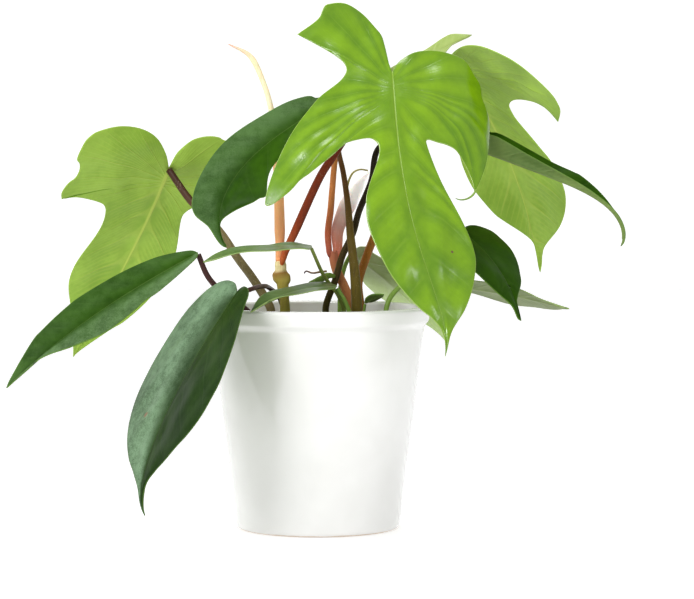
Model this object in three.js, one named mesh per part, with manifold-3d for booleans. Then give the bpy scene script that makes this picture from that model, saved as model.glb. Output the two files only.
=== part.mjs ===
// A potted aroid house plant with lobed, arrow-shaped leaves on long petioles, standing in a plain
// ceramic pot. Millimetres, +Z up, the origin at the centre of the pot's underside. The plant is seen
// from the front along +Y, with X to the right.
import * as THREE from 'three';
import { mergeVertices } from 'three/addons/utils/BufferGeometryUtils.js';
import Module from 'manifold-3d';

const wasm = await Module();
wasm.setup();

const DEG = Math.PI / 180;

// The pot.
const POT_HEIGHT = 122;
const RIM_RADIUS = 62;
const FOOT_RADIUS = 45;
const WALL = 4;
const FLOOR = 5;
const LIP = 2.2;
const LIP_DEPTH = 9;
const POT_SEGMENTS = 48;

// The soil.
const SOIL_TOP = 110;
const SOIL_CROWN = 2;
const GAP = 0.3;
const HOLE_DEPTH = 12;
const HOLE_GAP = 0.45;
const HOLE_SIDES = 12;

// The blades.
const BLADE = 0.8;
const RIB = 0.9;
const SIDE_RIB = 0.45;
const RIB_START = 7;
const SPINE_START = 4;
const SPINE_STEP = 0.5;
const SPINE_END = 0.97;

// Radius of the pot's outer wall at a height.
function wallRadius(z) {
  return FOOT_RADIUS + (RIM_RADIUS - LIP - FOOT_RADIUS) * (z / POT_HEIGHT);
}

function potGeometry() {
  const lipFoot = POT_HEIGHT - LIP_DEPTH;
  const outline = [
    [0, 0],
    [FOOT_RADIUS - 2, 0],
    [FOOT_RADIUS, 2],
    [wallRadius(lipFoot - 2), lipFoot - 2],
    [wallRadius(lipFoot) + LIP, lipFoot + 1],
    [RIM_RADIUS, POT_HEIGHT - 2],
    [RIM_RADIUS - 0.8, POT_HEIGHT - 0.5],
    [RIM_RADIUS - 2.5, POT_HEIGHT],
    [RIM_RADIUS - LIP - WALL + 1.5, POT_HEIGHT - 0.3],
    [RIM_RADIUS - LIP - WALL, POT_HEIGHT - 2],
    [wallRadius(FLOOR + 3) - WALL, FLOOR + 3],
    [wallRadius(FLOOR) - WALL - 3, FLOOR],
    [0, FLOOR],
  ];
  const profile = outline.map(([radius, height]) => new THREE.Vector2(radius, height));
  return new THREE.LatheGeometry(profile, POT_SEGMENTS).rotateX(Math.PI / 2);
}

function soilGeometry(holes) {
  const inner = (z) => wallRadius(z) - WALL - GAP;
  const outline = [
    [0, FLOOR + GAP],
    [inner(FLOOR) - 4, FLOOR + GAP],
    [inner(FLOOR + 4) - 0.5, FLOOR + 4],
    [inner(SOIL_TOP) - 1, SOIL_TOP - 1],
    [inner(SOIL_TOP) - 3, SOIL_TOP],
    [34, SOIL_TOP + SOIL_CROWN * 0.6],
    [14, SOIL_TOP + SOIL_CROWN],
    [0, SOIL_TOP + SOIL_CROWN],
  ];
  const profile = outline.map(([radius, height]) => new THREE.Vector2(radius, height));
  let soil = solid(new THREE.LatheGeometry(profile, POT_SEGMENTS).rotateX(Math.PI / 2));
  for (const { x, y, radius } of holes) {
    const depth = HOLE_DEPTH + 12;
    const hole = new THREE.CylinderGeometry(radius + HOLE_GAP, radius + HOLE_GAP, depth, HOLE_SIDES)
      .rotateX(Math.PI / 2)
      .translate(x, y, SOIL_TOP - HOLE_DEPTH + depth / 2);
    soil = soil.subtract(solid(hole));
  }
  return geometryOf(soil);
}

// A closed geometry as a solid that can be joined and cut.
function solid(geometry) {
  const bare = new THREE.BufferGeometry();
  bare.setAttribute('position', geometry.getAttribute('position').clone());
  bare.setIndex(geometry.index);
  const merged = mergeVertices(bare, 1e-4);
  return new wasm.Manifold(new wasm.Mesh({
    numProp: 3,
    vertProperties: new Float32Array(merged.attributes.position.array),
    triVerts: new Uint32Array(merged.index.array),
  }));
}

function geometryOf(body) {
  const mesh = body.getMesh();
  const geometry = new THREE.BufferGeometry();
  geometry.setAttribute('position', new THREE.BufferAttribute(mesh.vertProperties, 3));
  geometry.setIndex(new THREE.BufferAttribute(mesh.triVerts, 1));
  return geometry;
}

// A solid round stem through the points, [x, y, z] each, with its radius eased between the given radii.
function stemGeometry(points, radii, sides = 8, steps = 16) {
  const places = points.map((point) => new THREE.Vector3(...point));
  const curve = new THREE.CatmullRomCurve3(places, false, 'centripetal');
  const frames = curve.computeFrenetFrames(steps, false);
  const geometry = new THREE.CylinderGeometry(1, 1, 1, sides, steps);
  const position = geometry.getAttribute('position');
  const vertex = new THREE.Vector3();
  for (let i = 0; i < position.count; i += 1) {
    vertex.fromBufferAttribute(position, i);
    const ring = Math.round((vertex.y + 0.5) * steps);
    const radius = eased(radii, ring / steps);
    const place = curve.getPointAt(ring / steps);
    place.addScaledVector(frames.normals[ring], vertex.x * radius);
    place.addScaledVector(frames.binormals[ring], -vertex.z * radius);
    position.setXYZ(i, place.x, place.y, place.z);
  }
  return geometry;
}

// A value read from a list of evenly spaced values, with straight steps between them.
function eased(values, t) {
  const place = t * (values.length - 1);
  const from = Math.min(Math.floor(place), values.length - 2);
  return THREE.MathUtils.lerp(values[from], values[from + 1], place - from);
}

// Mean of a function over the middle points of equal steps from 0 to 1.
function mean(f, steps = 14) {
  let sum = 0;
  for (let i = 0; i < steps; i += 1) {
    sum += f((i + 0.5) / steps);
  }
  return sum / steps;
}

// Over which distance from a lobe's start its spokes come to bow, and how far forward a spoke runs before
// it bows fully.
const LOBE_SPAN = 16;
const LOBE_FORWARD = 20;
// How far out and forward the corner of a bowed spoke lies.
const BOW_OUT = 0.6;
const BOW_GAIN = 0.01;
const BOW_RISE = 0.1;

// The turn of a hooked tip grows with this power of the way along the midrib.
const HOOK_LATE = 8;

// Place on a bent blade for a flat place (u, v) on it, lifted by h along the blade's normal.
// v runs along the midrib from the petiole to the tip, and u runs across it to the right.
function bladePoint(shape, u, v, h) {
  const { length, droop, late, rear, rearLength, sweep, sweepLate, hook, twist } = shape;
  const ahead = v >= 0;
  const along = (t) => Math.abs(v * t) / (ahead ? length : rearLength);
  const drop = (t) => (ahead ? droop * along(t) ** late : rear * along(t)) * DEG;
  const turn = (t) => (ahead ? sweep * along(t) ** sweepLate + hook * along(t) ** HOOK_LATE : 0) * DEG;
  const centre = new THREE.Vector3(
    v * mean((t) => Math.sin(turn(t)) * Math.cos(drop(t))),
    v * mean((t) => Math.cos(turn(t)) * Math.cos(drop(t))),
    -v * mean((t) => Math.sin(drop(t))),
  );
  const a = turn(1);
  const b = drop(1);
  const spin = (ahead ? twist * along(1) : 0) * DEG;
  const side = new THREE.Vector3(Math.cos(a), -Math.sin(a), 0);
  const normal = new THREE.Vector3(Math.sin(a) * Math.sin(b), Math.cos(a) * Math.sin(b), Math.cos(b));
  const across = side.clone().multiplyScalar(Math.cos(spin)).addScaledVector(normal, Math.sin(spin));
  const up = normal.clone().multiplyScalar(Math.cos(spin)).addScaledVector(side, -Math.sin(spin));

  const right = u >= 0;
  const [fold, curl, power, rearCurl] = right ? shape.right : shape.left;
  const back = THREE.MathUtils.clamp(-v / rearLength, 0, 1);
  const lean = (s) => (fold + (curl + rearCurl * back) * (s / 50) ** power) * DEG;
  const reach = Math.abs(u);
  const x = Math.sign(u) * reach * mean((t) => Math.cos(lean(reach * t)));
  const z = reach * mean((t) => Math.sin(lean(reach * t)));
  const creased = ((shape.right[0] - shape.left[0]) / 2) * DEG;
  const tilt = reach > 0 ? lean(reach) * (right ? 1 : -1) : creased;
  return centre
    .addScaledVector(across, x - h * Math.sin(tilt))
    .addScaledVector(up, z + h * Math.cos(tilt));
}

// One edge of a flat blade from the petiole to the tip, as `count` + 1 places. A control point with a
// third value is a sharp one: the edge runs smoothly up to it and starts afresh there.
function edgePlaces(control, length, count) {
  const runs = [];
  let run = [new THREE.Vector2(0, 0)];
  for (const [u, v, sharp] of [...control, [0, length, 1]]) {
    run.push(new THREE.Vector2(u, v));
    if (sharp) {
      runs.push(new THREE.SplineCurve(run));
      run = [new THREE.Vector2(u, v)];
    }
  }
  const total = runs.reduce((sum, curve) => sum + curve.getLength(), 0);
  const edge = [{ place: new THREE.Vector2(0, 0), tip: false }];
  let walked = 0;
  for (const curve of runs) {
    walked += curve.getLength();
    const steps = Math.round((count * walked) / total) - (edge.length - 1);
    curve.getSpacedPoints(steps).slice(1).forEach((place, i) => {
      edge.push({ place, tip: i === steps - 1 });
    });
  }
  return edge;
}

// Places on the midrib where the spokes towards the edges start: each lies behind its edge place, as the
// side veins do, and they rise steadily to the tip.
function spinePlaces(rightEdge, leftEdge, length) {
  const spine = [];
  let reached = SPINE_START;
  rightEdge.forEach(({ place }, i) => {
    const other = leftEdge[i].place;
    const wanted = (place.y - place.x + other.y + other.x) / 2;
    reached = Math.max(reached, Math.min(wanted, length * SPINE_END));
    spine.push(new THREE.Vector2(0, reached));
    reached += SPINE_STEP;
  });
  return spine;
}

// Place on a spoke at a share of the way out. With bow 1 a spoke into a lobe leaves the midrib squarely
// and bends forward, so that it keeps inside the lobe, and with bow 0 it is straight.
function spokePlace(from, to, bow, lobeStart, out) {
  const forward = to.y - from.y;
  const inLobe = THREE.MathUtils.clamp((Math.abs(to.x) - lobeStart) / LOBE_SPAN, 0, 1);
  const square = new THREE.Vector2(to.x * (BOW_OUT + BOW_GAIN * forward), from.y + BOW_RISE * forward);
  const share = bow * inLobe * THREE.MathUtils.clamp(forward / LOBE_FORWARD, 0, 1);
  const control = from.clone().lerp(to, 0.5).lerp(square, share);
  return new THREE.QuadraticBezierCurve(from, control, to).getPoint(out);
}

// A closed blade: both faces carry the same grid of spokes from the midrib to the edge, and the
// underside stands out along the midrib and along the spokes into the lobes.
function bladeGeometry(shape) {
  const { length, spokes, rings } = shape;
  const rightEdge = edgePlaces(shape.rightEdge, length, spokes);
  const leftEdge = edgePlaces(shape.leftEdge, length, spokes);
  const spine = spinePlaces(rightEdge, leftEdge, length);
  const loop = [...rightEdge, ...leftEdge.slice(1, -1).reverse()];
  const spineOf = (i) => (i <= spokes ? i : 2 * spokes - i);

  const ribHeight = (v) => {
    const rise = THREE.MathUtils.clamp(v / RIB_START, 0, 1);
    return RIB * rise * Math.sqrt(Math.max(0, 1 - v / length));
  };
  const positions = [];
  const addPlace = ({ x: u, y: v }, rib) => {
    const top = bladePoint(shape, u, v, BLADE / 2);
    const under = bladePoint(shape, u, v, -BLADE / 2 - rib);
    positions.push(top.x, top.y, top.z, under.x, under.y, under.z);
  };
  spine.forEach((place) => addPlace(place, ribHeight(place.y)));
  for (let ring = 1; ring <= rings; ring += 1) {
    loop.forEach(({ place, tip }, i) => {
      const from = spine[spineOf(i)];
      const out = ring / rings;
      const rib = tip && ring < rings ? SIDE_RIB * (1 - out * out) * Math.min(1, from.y / RIB_START) : 0;
      addPlace(spokePlace(from, place, shape.bow[i <= spokes ? 0 : 1], shape.lobeStart, out), rib);
    });
  }

  const topOf = (i, ring) => {
    const k = (i + loop.length) % loop.length;
    return 2 * (ring === 0 ? spineOf(k) : spine.length + (ring - 1) * loop.length + k);
  };
  const index = [];
  for (let i = 0; i < loop.length; i += 1) {
    for (let ring = 0; ring < rings; ring += 1) {
      const [a, b, c, d] = [topOf(i, ring), topOf(i, ring + 1), topOf(i + 1, ring + 1), topOf(i + 1, ring)];
      index.push(a, b, c, a, c, d);
      index.push(a + 1, c + 1, b + 1, a + 1, d + 1, c + 1);
    }
    const [a, b] = [topOf(i, rings), topOf(i + 1, rings)];
    index.push(a + 1, b + 1, b, a + 1, b, a);
  }
  const geometry = new THREE.BufferGeometry();
  geometry.setAttribute('position', new THREE.BufferAttribute(new Float32Array(positions), 3));
  geometry.setIndex(index);
  return geometry;
}

const PLAIN_SHAPE = {
  droop: 0,
  late: 1,
  rear: 8,
  rearLength: 30,
  sweep: 0,
  sweepLate: 1,
  hook: 0,
  twist: 0,
  right: [4, -8, 1, 0],
  left: [4, -8, 1, 0],
  bow: [0, 0],
  lobeStart: 22,
  spokes: 20,
  rings: 3,
};

const plant = new THREE.Group();
const leaves = {};

function material(color, roughness) {
  return new THREE.MeshStandardMaterial({ color, roughness, metalness: 0 });
}

const FRESH_GREEN = material(0x6fae1c, 0.35);
const PALE_GREEN = material(0x8fb84e, 0.45);
const YOUNG_GREEN = material(0xa9c77c, 0.45);
const DARK_GREEN = material(0x2c5a2c, 0.35);
const GREY_GREEN = material(0x5e7a55, 0.5);
const RED_STALK = material(0x9c3a1c, 0.5);
const ORANGE_STALK = material(0xc9743a, 0.5);
const OLIVE_STALK = material(0x6b6330, 0.5);
const BLACK_STALK = material(0x33231c, 0.5);
const GREEN_STALK = material(0x7f9a3c, 0.5);
const PINK_SHEATH = material(0xe7c1b4, 0.55);
const WHITE_GLAZE = material(0xf2f1ec, 0.25);
const DARK_SOIL = material(0x3a2a20, 0.95);

function add(name, geometry, look) {
  const mesh = new THREE.Mesh(geometry, look);
  mesh.name = name;
  plant.add(mesh);
  return mesh;
}

// A blade whose petiole meets it at `at`. It points along `yaw` (turned from +X about +Z), dips by
// `pitch` and is rolled by `roll` about its midrib, all in degrees.
function leaf(name, look, { at, yaw, pitch, roll = 0, ...form }) {
  const shape = { ...PLAIN_SHAPE, ...form };
  const mesh = add(name, bladeGeometry(shape), look);
  mesh.position.set(...at);
  mesh.rotation.set(-pitch * DEG, -roll * DEG, (yaw - 90) * DEG, 'ZXY');
  leaves[name] = mesh;
}

leaf('leaf_front', FRESH_GREEN, {
  at: [40.3, -20, 249.7], yaw: -84.5, pitch: 57.3,
  length: 167.8, droop: 17.6, late: 1.2, rear: 25, rearLength: 45, sweep: -37.9, sweepLate: 2, hook: 51.6,
  right: [6, -12, 1.2, 0], left: [-8, -30, 3, 0], bow: [0, 1],
  rightEdge: [
    [2.7, -11.2], [3.1, -16.1], [4.5, -22], [7.6, -26.4], [15.1, -34.8], [24.3, -40.4], [33.4, -40],
    [36.4, -37.4], [39.5, -31.1], [50.7, -22.7, 1], [31.8, -10.1], [25.1, -1.8], [28.2, 6.5],
    [39.5, 16.3], [44.6, 22], [55.1, 35], [64.4, 49.3], [72.1, 63.2], [75.1, 70.8], [74.3, 72, 1],
    [70.3, 71.5], [60.9, 67], [54.9, 62.4], [48.5, 59], [35.8, 50.9], [30.5, 46.1], [26, 44],
    [16.1, 42.2], [12.3, 44], [10.7, 47.9], [12.3, 54.9], [19.9, 70.9], [22.3, 77.8], [24, 90.5],
    [21.6, 108.2], [18.9, 120.1], [14.6, 131], [9.8, 139.9], [5.4, 145.7], [1.1, 154.7],
  ],
  leftEdge: [
    [-4.3, -7.1], [-13.6, -13.7], [-25.7, -15.6], [-38.6, -14], [-44.3, -11.5], [-48.7, -5.9],
    [-53, -1.1], [-53.4, 6.5], [-55.9, 12], [-58.1, 19.2], [-56.8, 30.4], [-54.4, 42.1], [-51, 52.6],
    [-45.8, 64.4], [-39.4, 75.9, 1], [-39.5, 69.7], [-38.3, 62.4], [-35.9, 55.2], [-32.6, 48.2],
    [-28.3, 45.2], [-22.2, 43.6], [-16.5, 42.3], [-16, 46.8], [-20.3, 67.7], [-26.4, 89.5],
    [-28.8, 101.4], [-29.6, 111.4], [-28.5, 120.5], [-24.1, 130.2], [-19.4, 137.4], [-13.2, 144.7],
    [-7.2, 150.2], [-3.9, 154.2], [-1.7, 159.3],
  ],
  spokes: 27, rings: 4,
});

leaf('leaf_young', YOUNG_GREEN, {
  at: [18.5, 18, 233], yaw: -5, pitch: -34.6, roll: -52,
  length: 77.4, droop: 14,
  rightEdge: [
    [7.8, 4.8], [7.6, 15.5], [7.2, 41.5], [6.5, 51.9], [3.3, 60], [0.5, 65.6], [0.5, 74.3],
  ],
  leftEdge: [
    [-3.5, 2.1], [-5.4, 9.7], [-6.4, 20.8], [-5.6, 49.5], [-6.6, 62.6], [-5.9, 68.6],
  ],
  spokes: 14,
});

leaf('leaf_back_right', PALE_GREEN, {
  at: [73.5, 38, 259.1], yaw: 42.4, pitch: 38.8,
  length: 146, droop: 40, rear: 15, rearLength: 35,
  right: [-4, -6, 1, 0], left: [-12, -30, 1, -20], bow: [1, 1], lobeStart: 34,
  rightEdge: [
    [8.9, -6.2], [22.7, -11.7], [37.6, -12], [52.3, -6.7], [58.9, -2.3], [63.8, 4.3], [71.3, 19.4],
    [72, 26.8], [69.9, 34.1], [61.6, 43.4, 1], [59.9, 37.3], [56.7, 33.6], [50.3, 30.7], [42.1, 30],
    [34.7, 30.5], [28.2, 32.3], [22.7, 36.2], [21.3, 41.1], [22.3, 48.6], [30.1, 64.4], [34.7, 71.8],
    [37.8, 79.2], [39, 87.6], [38.6, 95.4], [35.6, 103.2], [30.4, 111.1], [22.8, 118.8], [8.4, 129.4],
    [4.1, 135.3], [2.3, 140.8],
  ],
  leftEdge: [
    [-5, -4], [-14, -7], [-26, -5], [-38, 3], [-46, 14], [-52, 34, 1], [-46, 29], [-38, 28], [-32, 32],
    [-28, 42], [-28.9, 60.7], [-30.5, 75], [-29.1, 90], [-22.5, 105.8], [-16.8, 113], [-5, 123.4],
    [-1.1, 128.2], [-0.5, 133.9],
  ],
  spokes: 25,
});

leaf('leaf_right', DARK_GREEN, {
  at: [53.3, 12, 221.4], yaw: -12.1, pitch: 20.2,
  length: 140.7, droop: 98.9, late: 8,
  right: [60, 0, 1, 0], left: [50, 0, 1, 0],
  rightEdge: [
    [5, -5], [9, -2], [12, 8], [14, 24], [11.6, 41], [11.4, 48.2], [7.2, 69.2], [2.4, 104],
    [1.5, 116], [1.4, 136],
  ],
  leftEdge: [
    [-5, -5], [-10, -3], [-15, 8], [-19, 24], [-13.9, 38.3], [-14.8, 43.3], [-14, 51.3], [-9.6, 76.7],
    [-8.8, 91], [-8.2, 96.5], [-2, 116.9], [-1.5, 124], [-1.4, 136],
  ],
  spokes: 26, rings: 2,
});

leaf('leaf_back_left', PALE_GREEN, {
  at: [-83.7, 30, 197.7], yaw: 115.1, pitch: 42.8, roll: -8,
  length: 143.7, droop: 22, rear: 18, rearLength: 35, sweep: -20,
  right: [-6, -8, 1, 0], left: [-6, -10, 1, 0],
  rightEdge: [
    [1.1, -10.1], [3.3, -16], [7.4, -22.3], [12.3, -25.6], [17.6, -27.3], [22.1, -27.4], [25.8, -26.2],
    [47, -24], [51, -12], [48, 0], [50, 11, 1], [40, 19], [24.5, 23.6], [21.1, 25.8], [18.7, 30.2],
    [18.4, 34.1], [19.9, 41.2], [24.3, 57.6], [25.6, 69], [23.8, 90.8], [17.3, 110.1], [10.9, 120.6],
    [1.7, 138.1],
  ],
  leftEdge: [
    [-4.7, -10.8], [-13, -21.8], [-23.8, -27.8], [-37.2, -29.5], [-49.4, -26.9], [-54.4, -23.6],
    [-56.8, -19.2], [-58.1, -10], [-55.5, -6.3], [-54.1, -1.1], [-54.9, 5.6], [-57.5, 9], [-59.4, 13.9],
    [-60.1, 19.5], [-58.5, 25.2, 1], [-54.3, 23.8], [-47.3, 24.2], [-33.4, 29.1], [-29.3, 32.8],
    [-27.4, 37.4], [-26.1, 45.6], [-26.6, 56.3], [-29.9, 74.8], [-30.4, 84.8], [-29, 93.7],
    [-25.7, 101.4], [-19.9, 111], [-19, 114], [-7, 132],
  ],
  spokes: 22,
});

leaf('leaf_left_middle', DARK_GREEN, {
  at: [9.4, 0, 235], yaw: -151.3, pitch: 26.1, roll: 38,
  length: 115.5, droop: 31.9, late: 1.2, rear: 15, rearLength: 35, sweep: -84.6, sweepLate: 3.5,
  right: [8, -14, 1, 0], left: [8, -14, 1, 0],
  rightEdge: [
    [3, -5], [6.4, 6.9], [9.6, 9.2], [11.9, 13], [15, 23.6], [16.7, 41.9], [18.3, 60.5], [18, 73.2],
    [16.5, 90.4], [13.8, 97.6], [6, 103.6], [2.1, 112.8],
  ],
  leftEdge: [
    [-3, -5], [-8, 4], [-11, 16], [-13, 36], [-15, 58], [-22.2, 75.5], [-19.3, 80.8], [-15.4, 86.7],
    [-5.6, 95.9], [-2.1, 99.2], [-0.5, 102.6], [-0.5, 111], [-0.9, 114.8],
  ],
  spokes: 18,
});

leaf('leaf_left', DARK_GREEN, {
  at: [-64.8, -20, 151.9], yaw: -154.2, pitch: 25.9, roll: 24,
  length: 128.8, droop: 20, late: 1.5, rear: 10, rearLength: 35,
  right: [22, -8, 1, 0], left: [2, -10, 1, 0],
  rightEdge: [
    [3.2, 1.8], [6.3, 7.5], [9.3, 15.3], [11.5, 25.1], [13.7, 46.3], [15, 66.5], [14.5, 75.1],
    [11.9, 93.6], [10.5, 101.5], [2.8, 122.9],
  ],
  leftEdge: [
    [-3.1, 2.9], [-6, 10.6], [-12.9, 32], [-14.1, 43.1], [-16.1, 52.5], [-17, 71.1], [-10.9, 89],
    [-3.9, 100], [-0.5, 106.5], [-0.5, 113.2],
  ],
  spokes: 18,
});

leaf('leaf_front_left', DARK_GREEN, {
  at: [-42, -62, 132.8], yaw: -153.6, pitch: 52.9,
  length: 134.7, droop: 18.6, late: 1.2, rear: 20, rearLength: 35, sweep: -65.9, sweepLate: 6,
  right: [6, -10, 1, 0], left: [10, -14, 1, 0],
  rightEdge: [
    [7.4, -4.6], [14, -5.8], [20.4, -5.5], [27.3, -3.3], [34, 1.7], [39.5, 10.1], [43.4, 20],
    [47.1, 42.4], [47.3, 54.6], [44.7, 67.6], [38.4, 79.5], [30.6, 89.4], [20.4, 99], [11, 106.7],
    [4.1, 115.3], [1.4, 124.5],
  ],
  leftEdge: [
    [-0.5, -2], [-5.5, -3.4], [-14.2, -1.9], [-22.4, 2.6], [-27.3, 8.9], [-42.1, 29.5], [-49.3, 51],
    [-49.7, 62.8], [-48, 75.2], [-42, 87.3], [-32.6, 97.3], [-23.6, 104.8], [-13, 110.3], [-4.8, 114.8],
    [-2.1, 121.7],
  ],
  spokes: 18,
});

leaf('leaf_low_right', DARK_GREEN, {
  at: [79.3, 5, 162.6], yaw: -44.3, pitch: 27.3,
  length: 65.7, droop: 45, late: 1.2, rear: 15, rearLength: 25,
  right: [4, -20, 1, 0], left: [4, -20, 1, 0],
  rightEdge: [
    [6, -4], [15, -2], [20, 8], [22.2, 30.1], [19.9, 35.4], [11.9, 48.5], [4.9, 57], [2.9, 64],
  ],
  leftEdge: [
    [-6.5, -4.2], [-14.7, -5.8], [-22, -4.4], [-26.9, -0.6], [-25.5, 8.3], [-23, 18], [-19, 28.9],
    [-14.8, 37.7], [-11.4, 43.6], [-3.1, 52], [-0.7, 56],
  ],
  spokes: 14,
});

leaf('leaf_sliver_right', GREY_GREEN, {
  at: [67.8, 20, 132.6], yaw: -20.7, pitch: 2.3, roll: 22,
  length: 76.8, droop: 14,
  rightEdge: [
    [5, 4], [11.3, 20.8], [13.1, 27.1], [13.4, 34.3], [10.4, 48.8], [7.7, 55.2], [4.5, 60.4],
    [0.5, 71.4],
  ],
  leftEdge: [
    [-5, 4], [-7.6, 9.4], [-11.9, 14.1], [-18.1, 26.5], [-21, 31.6], [-22.9, 38.3], [-22.1, 45.7],
    [-17.5, 56.6], [-9.4, 67.3],
  ],
  spokes: 13,
});

leaf('leaf_behind_right', GREY_GREEN, {
  at: [18.7, 31, 150.5], yaw: 34.3, pitch: 31.6, roll: 10,
  length: 83.7, droop: 15,
  rightEdge: [
    [8.6, -3.1], [12.5, -2.7], [14.9, -1], [13, 6], [16, 24], [16, 46], [9, 68],
  ],
  leftEdge: [
    [-6.3, 4.4], [-10.6, 15.9], [-20.4, 27.5], [-21.3, 35.2], [-19.6, 44], [-16.2, 53.3], [-7.6, 65.8],
    [-3.4, 70.9], [-0.5, 76.3],
  ],
  spokes: 13,
});

leaf('leaf_sliver_left', DARK_GREEN, {
  at: [-2.8, -35, 155.6], yaw: -154.3, pitch: -8.4, roll: 8,
  length: 63.5, droop: 30,
  rightEdge: [
    [6.2, -2], [7, 1.2], [8.5, 5.3], [4.9, 13.9], [2.2, 23.7], [2.9, 32.1], [5.4, 40.8], [5.2, 54.3],
  ],
  leftEdge: [
    [-18.7, 9.9], [-18.5, 15.2], [-16.2, 31.3], [-8.4, 46.4], [-5.4, 52.7], [-3.9, 58.6],
  ],
  spokes: 13,
});

leaf('leaf_sliver_front', DARK_GREEN, {
  at: [10.6, -30, 133.9], yaw: -149, pitch: -4.4, roll: 8,
  length: 54.6, droop: 35,
  rightEdge: [
    [6.5, -1.2], [12.8, 0.3], [10.1, 8.1], [8.3, 18.3], [11.1, 32.1], [10.4, 38.7], [7, 45.4],
  ],
  leftEdge: [
    [-6.3, 6.2], [-10.1, 16.3], [-8.9, 24.8], [-4.2, 31.4], [-0.5, 38.5], [-0.5, 49.6],
  ],
  spokes: 12,
});

leaf('leaf_small', DARK_GREEN, {
  at: [25.5, -19, 124.5], yaw: -20, pitch: -36, roll: 30,
  length: 13, droop: 30,
  rightEdge: [[3, 3], [3.5, 7], [2, 11]],
  leftEdge: [[-3, 3], [-3.5, 7], [-2, 11]],
  spokes: 6, rings: 2,
});

const holes = [];

// A stem that stands in the soil: it runs straight down into a hole of its own below its first point.
function standing(points, radius) {
  const [x, y] = points[0];
  holes.push({ x, y, radius });
  return [[x, y, SOIL_TOP - HOLE_DEPTH + GAP], [x, y, SOIL_TOP + SOIL_CROWN + 2], ...points];
}

// The place just under a blade where its petiole ends.
function underLeaf(name, from, radius, clearance) {
  const { position, quaternion } = leaves[name];
  const normal = new THREE.Vector3(0, 0, 1).applyQuaternion(quaternion);
  const along = position.clone().sub(new THREE.Vector3(...from)).normalize();
  const slant = Math.sqrt(1 - normal.dot(along) ** 2);
  return position.clone().addScaledVector(normal, -(BLADE / 2 + clearance + radius * slant)).toArray();
}

// A petiole from its foot in the soil, or on a stem, to the underside of a leaf.
function petiole(name, look, leafName, points, radii, { onStem = false, clearance = 2 * GAP } = {}) {
  const top = underLeaf(leafName, points[points.length - 1], radii[radii.length - 1], clearance);
  const foot = onStem ? points : standing(points, radii[0]);
  add(name, stemGeometry([...foot, top], radii), look);
}

// The left stem carries the longest petiole and a rolled new leaf above a ring-shaped node.
const leftStem = stemGeometry(
  standing([[-18, -8, 122], [-19, -8, 132], [-20, -8, 140], [-20.3, -8, 144], [-20.5, -8, 147]], 2.8),
  [2.8, 2.8, 2.8, 2.8, 2.7, 3.2, 3.4, 2.9], 10, 20,
);
const scars = [[-24.3, -8, 137.5, 1.3, 3], [-17.4, -8, 139, 1.5, 2.2]].map(([x, y, z, width, height]) => (
  solid(new THREE.SphereGeometry(1, 8, 6).scale(width, width, height).translate(x, y, z))
));
add('stem_left', geometryOf(scars.reduce((stem, scar) => stem.add(scar), solid(leftStem))), OLIVE_STALK);
petiole('petiole_front', RED_STALK, 'leaf_front', [
  [-19, -10.6, 147.6], [-17.6, -11.5, 152], [-13, -12, 161.5], [2, -14, 194], [9.5, -15, 205.5],
  [24, -17, 228],
], [1.8, 2.5, 2.4, 2.3, 2.2, 2], { onStem: true });
add('new_leaf_roll', stemGeometry([
  [-21.4, -5.4, 147.6], [-20.8, -4.6, 157], [-21, -3, 172], [-21.5, 0, 186], [-23, 6, 207.5],
  [-26, 8, 231], [-30.5, 8, 246], [-37.5, 8, 259.5], [-49.5, 8, 266],
], [1.8, 3, 2.8, 2.5, 2.2, 1.7, 1.5, 1.6, 0.3], 8, 22), ORANGE_STALK);

add('stem_right', stemGeometry(
  standing([[18.5, 5, 122], [14.5, 5, 132.5], [10, 5, 142], [8, 5, 152]], 2.6),
  [2.6, 2.6, 2.5, 2.5, 2.7], 10, 18,
), ORANGE_STALK);
petiole('petiole_young', ORANGE_STALK, 'leaf_young', [
  [6.2, 4, 152.6], [5.5, 4.4, 161.5], [7, 5, 174], [8, 6, 186.5], [9.5, 7, 202], [13, 10, 218],
], [1.8, 2, 1.8, 1.6, 1.4], { onStem: true });
add('sheath', stemGeometry([
  [10.6, 6.4, 152.9], [10.8, 7, 163], [14.5, 8.6, 173], [19, 9.5, 182], [24, 9.5, 190], [28, 9, 195.5],
], [1.9, 3, 3.2, 4, 2.8, 0.4], 8, 14), PINK_SHEATH);
add('filament', stemGeometry([
  [15.6, -3.3, 184], [17, -0.9, 191], [19.5, 2, 195.4], [23.5, 5, 197], [27.5, 5.5, 196.4],
], [0.6, 0.6, 0.6, 0.5, 0.5], 6, 10), GREEN_STALK);

petiole('petiole_left_middle', OLIVE_STALK, 'leaf_left_middle', [
  [21.5, -8, 122], [20.5, -8, 139.5], [18, -8, 161.5], [16.5, -7, 178], [14, -5, 195.5], [11.5, -4, 207],
], [3.3, 3.2, 2.6, 1.8, 1.5, 1.4]);
petiole('petiole_right', BLACK_STALK, 'leaf_right', [
  [4.5, -1, 122], [9.5, -1, 136], [13.5, -1, 149.5], [19.5, 0, 162.5], [22.5, 0, 173.5], [29.5, 0, 191],
  [33, -1, 208],
], [2, 2, 2, 1.9, 1.8, 1.6], { clearance: GAP });
petiole('petiole_back_right', RED_STALK, 'leaf_back_right', [
  [23.5, 12, 122], [22.5, 12, 134], [26.5, 13, 147.5], [30.5, 14, 158], [45.5, 27, 196.5], [60, 35, 227],
], [2.5, 2.5, 2.4, 2.2, 2], { clearance: 3 * GAP });
petiole('petiole_back_left', OLIVE_STALK, 'leaf_back_left', [
  [-26, 6, 120], [-30, 8, 127.5], [-36.5, 10, 137.5], [-44.5, 13, 148], [-53, 17, 160.5],
  [-62.5, 21, 171.5], [-71.5, 24, 180],
], [2.6, 2.6, 2.5, 2.3, 2], { clearance: 3 * GAP });
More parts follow.
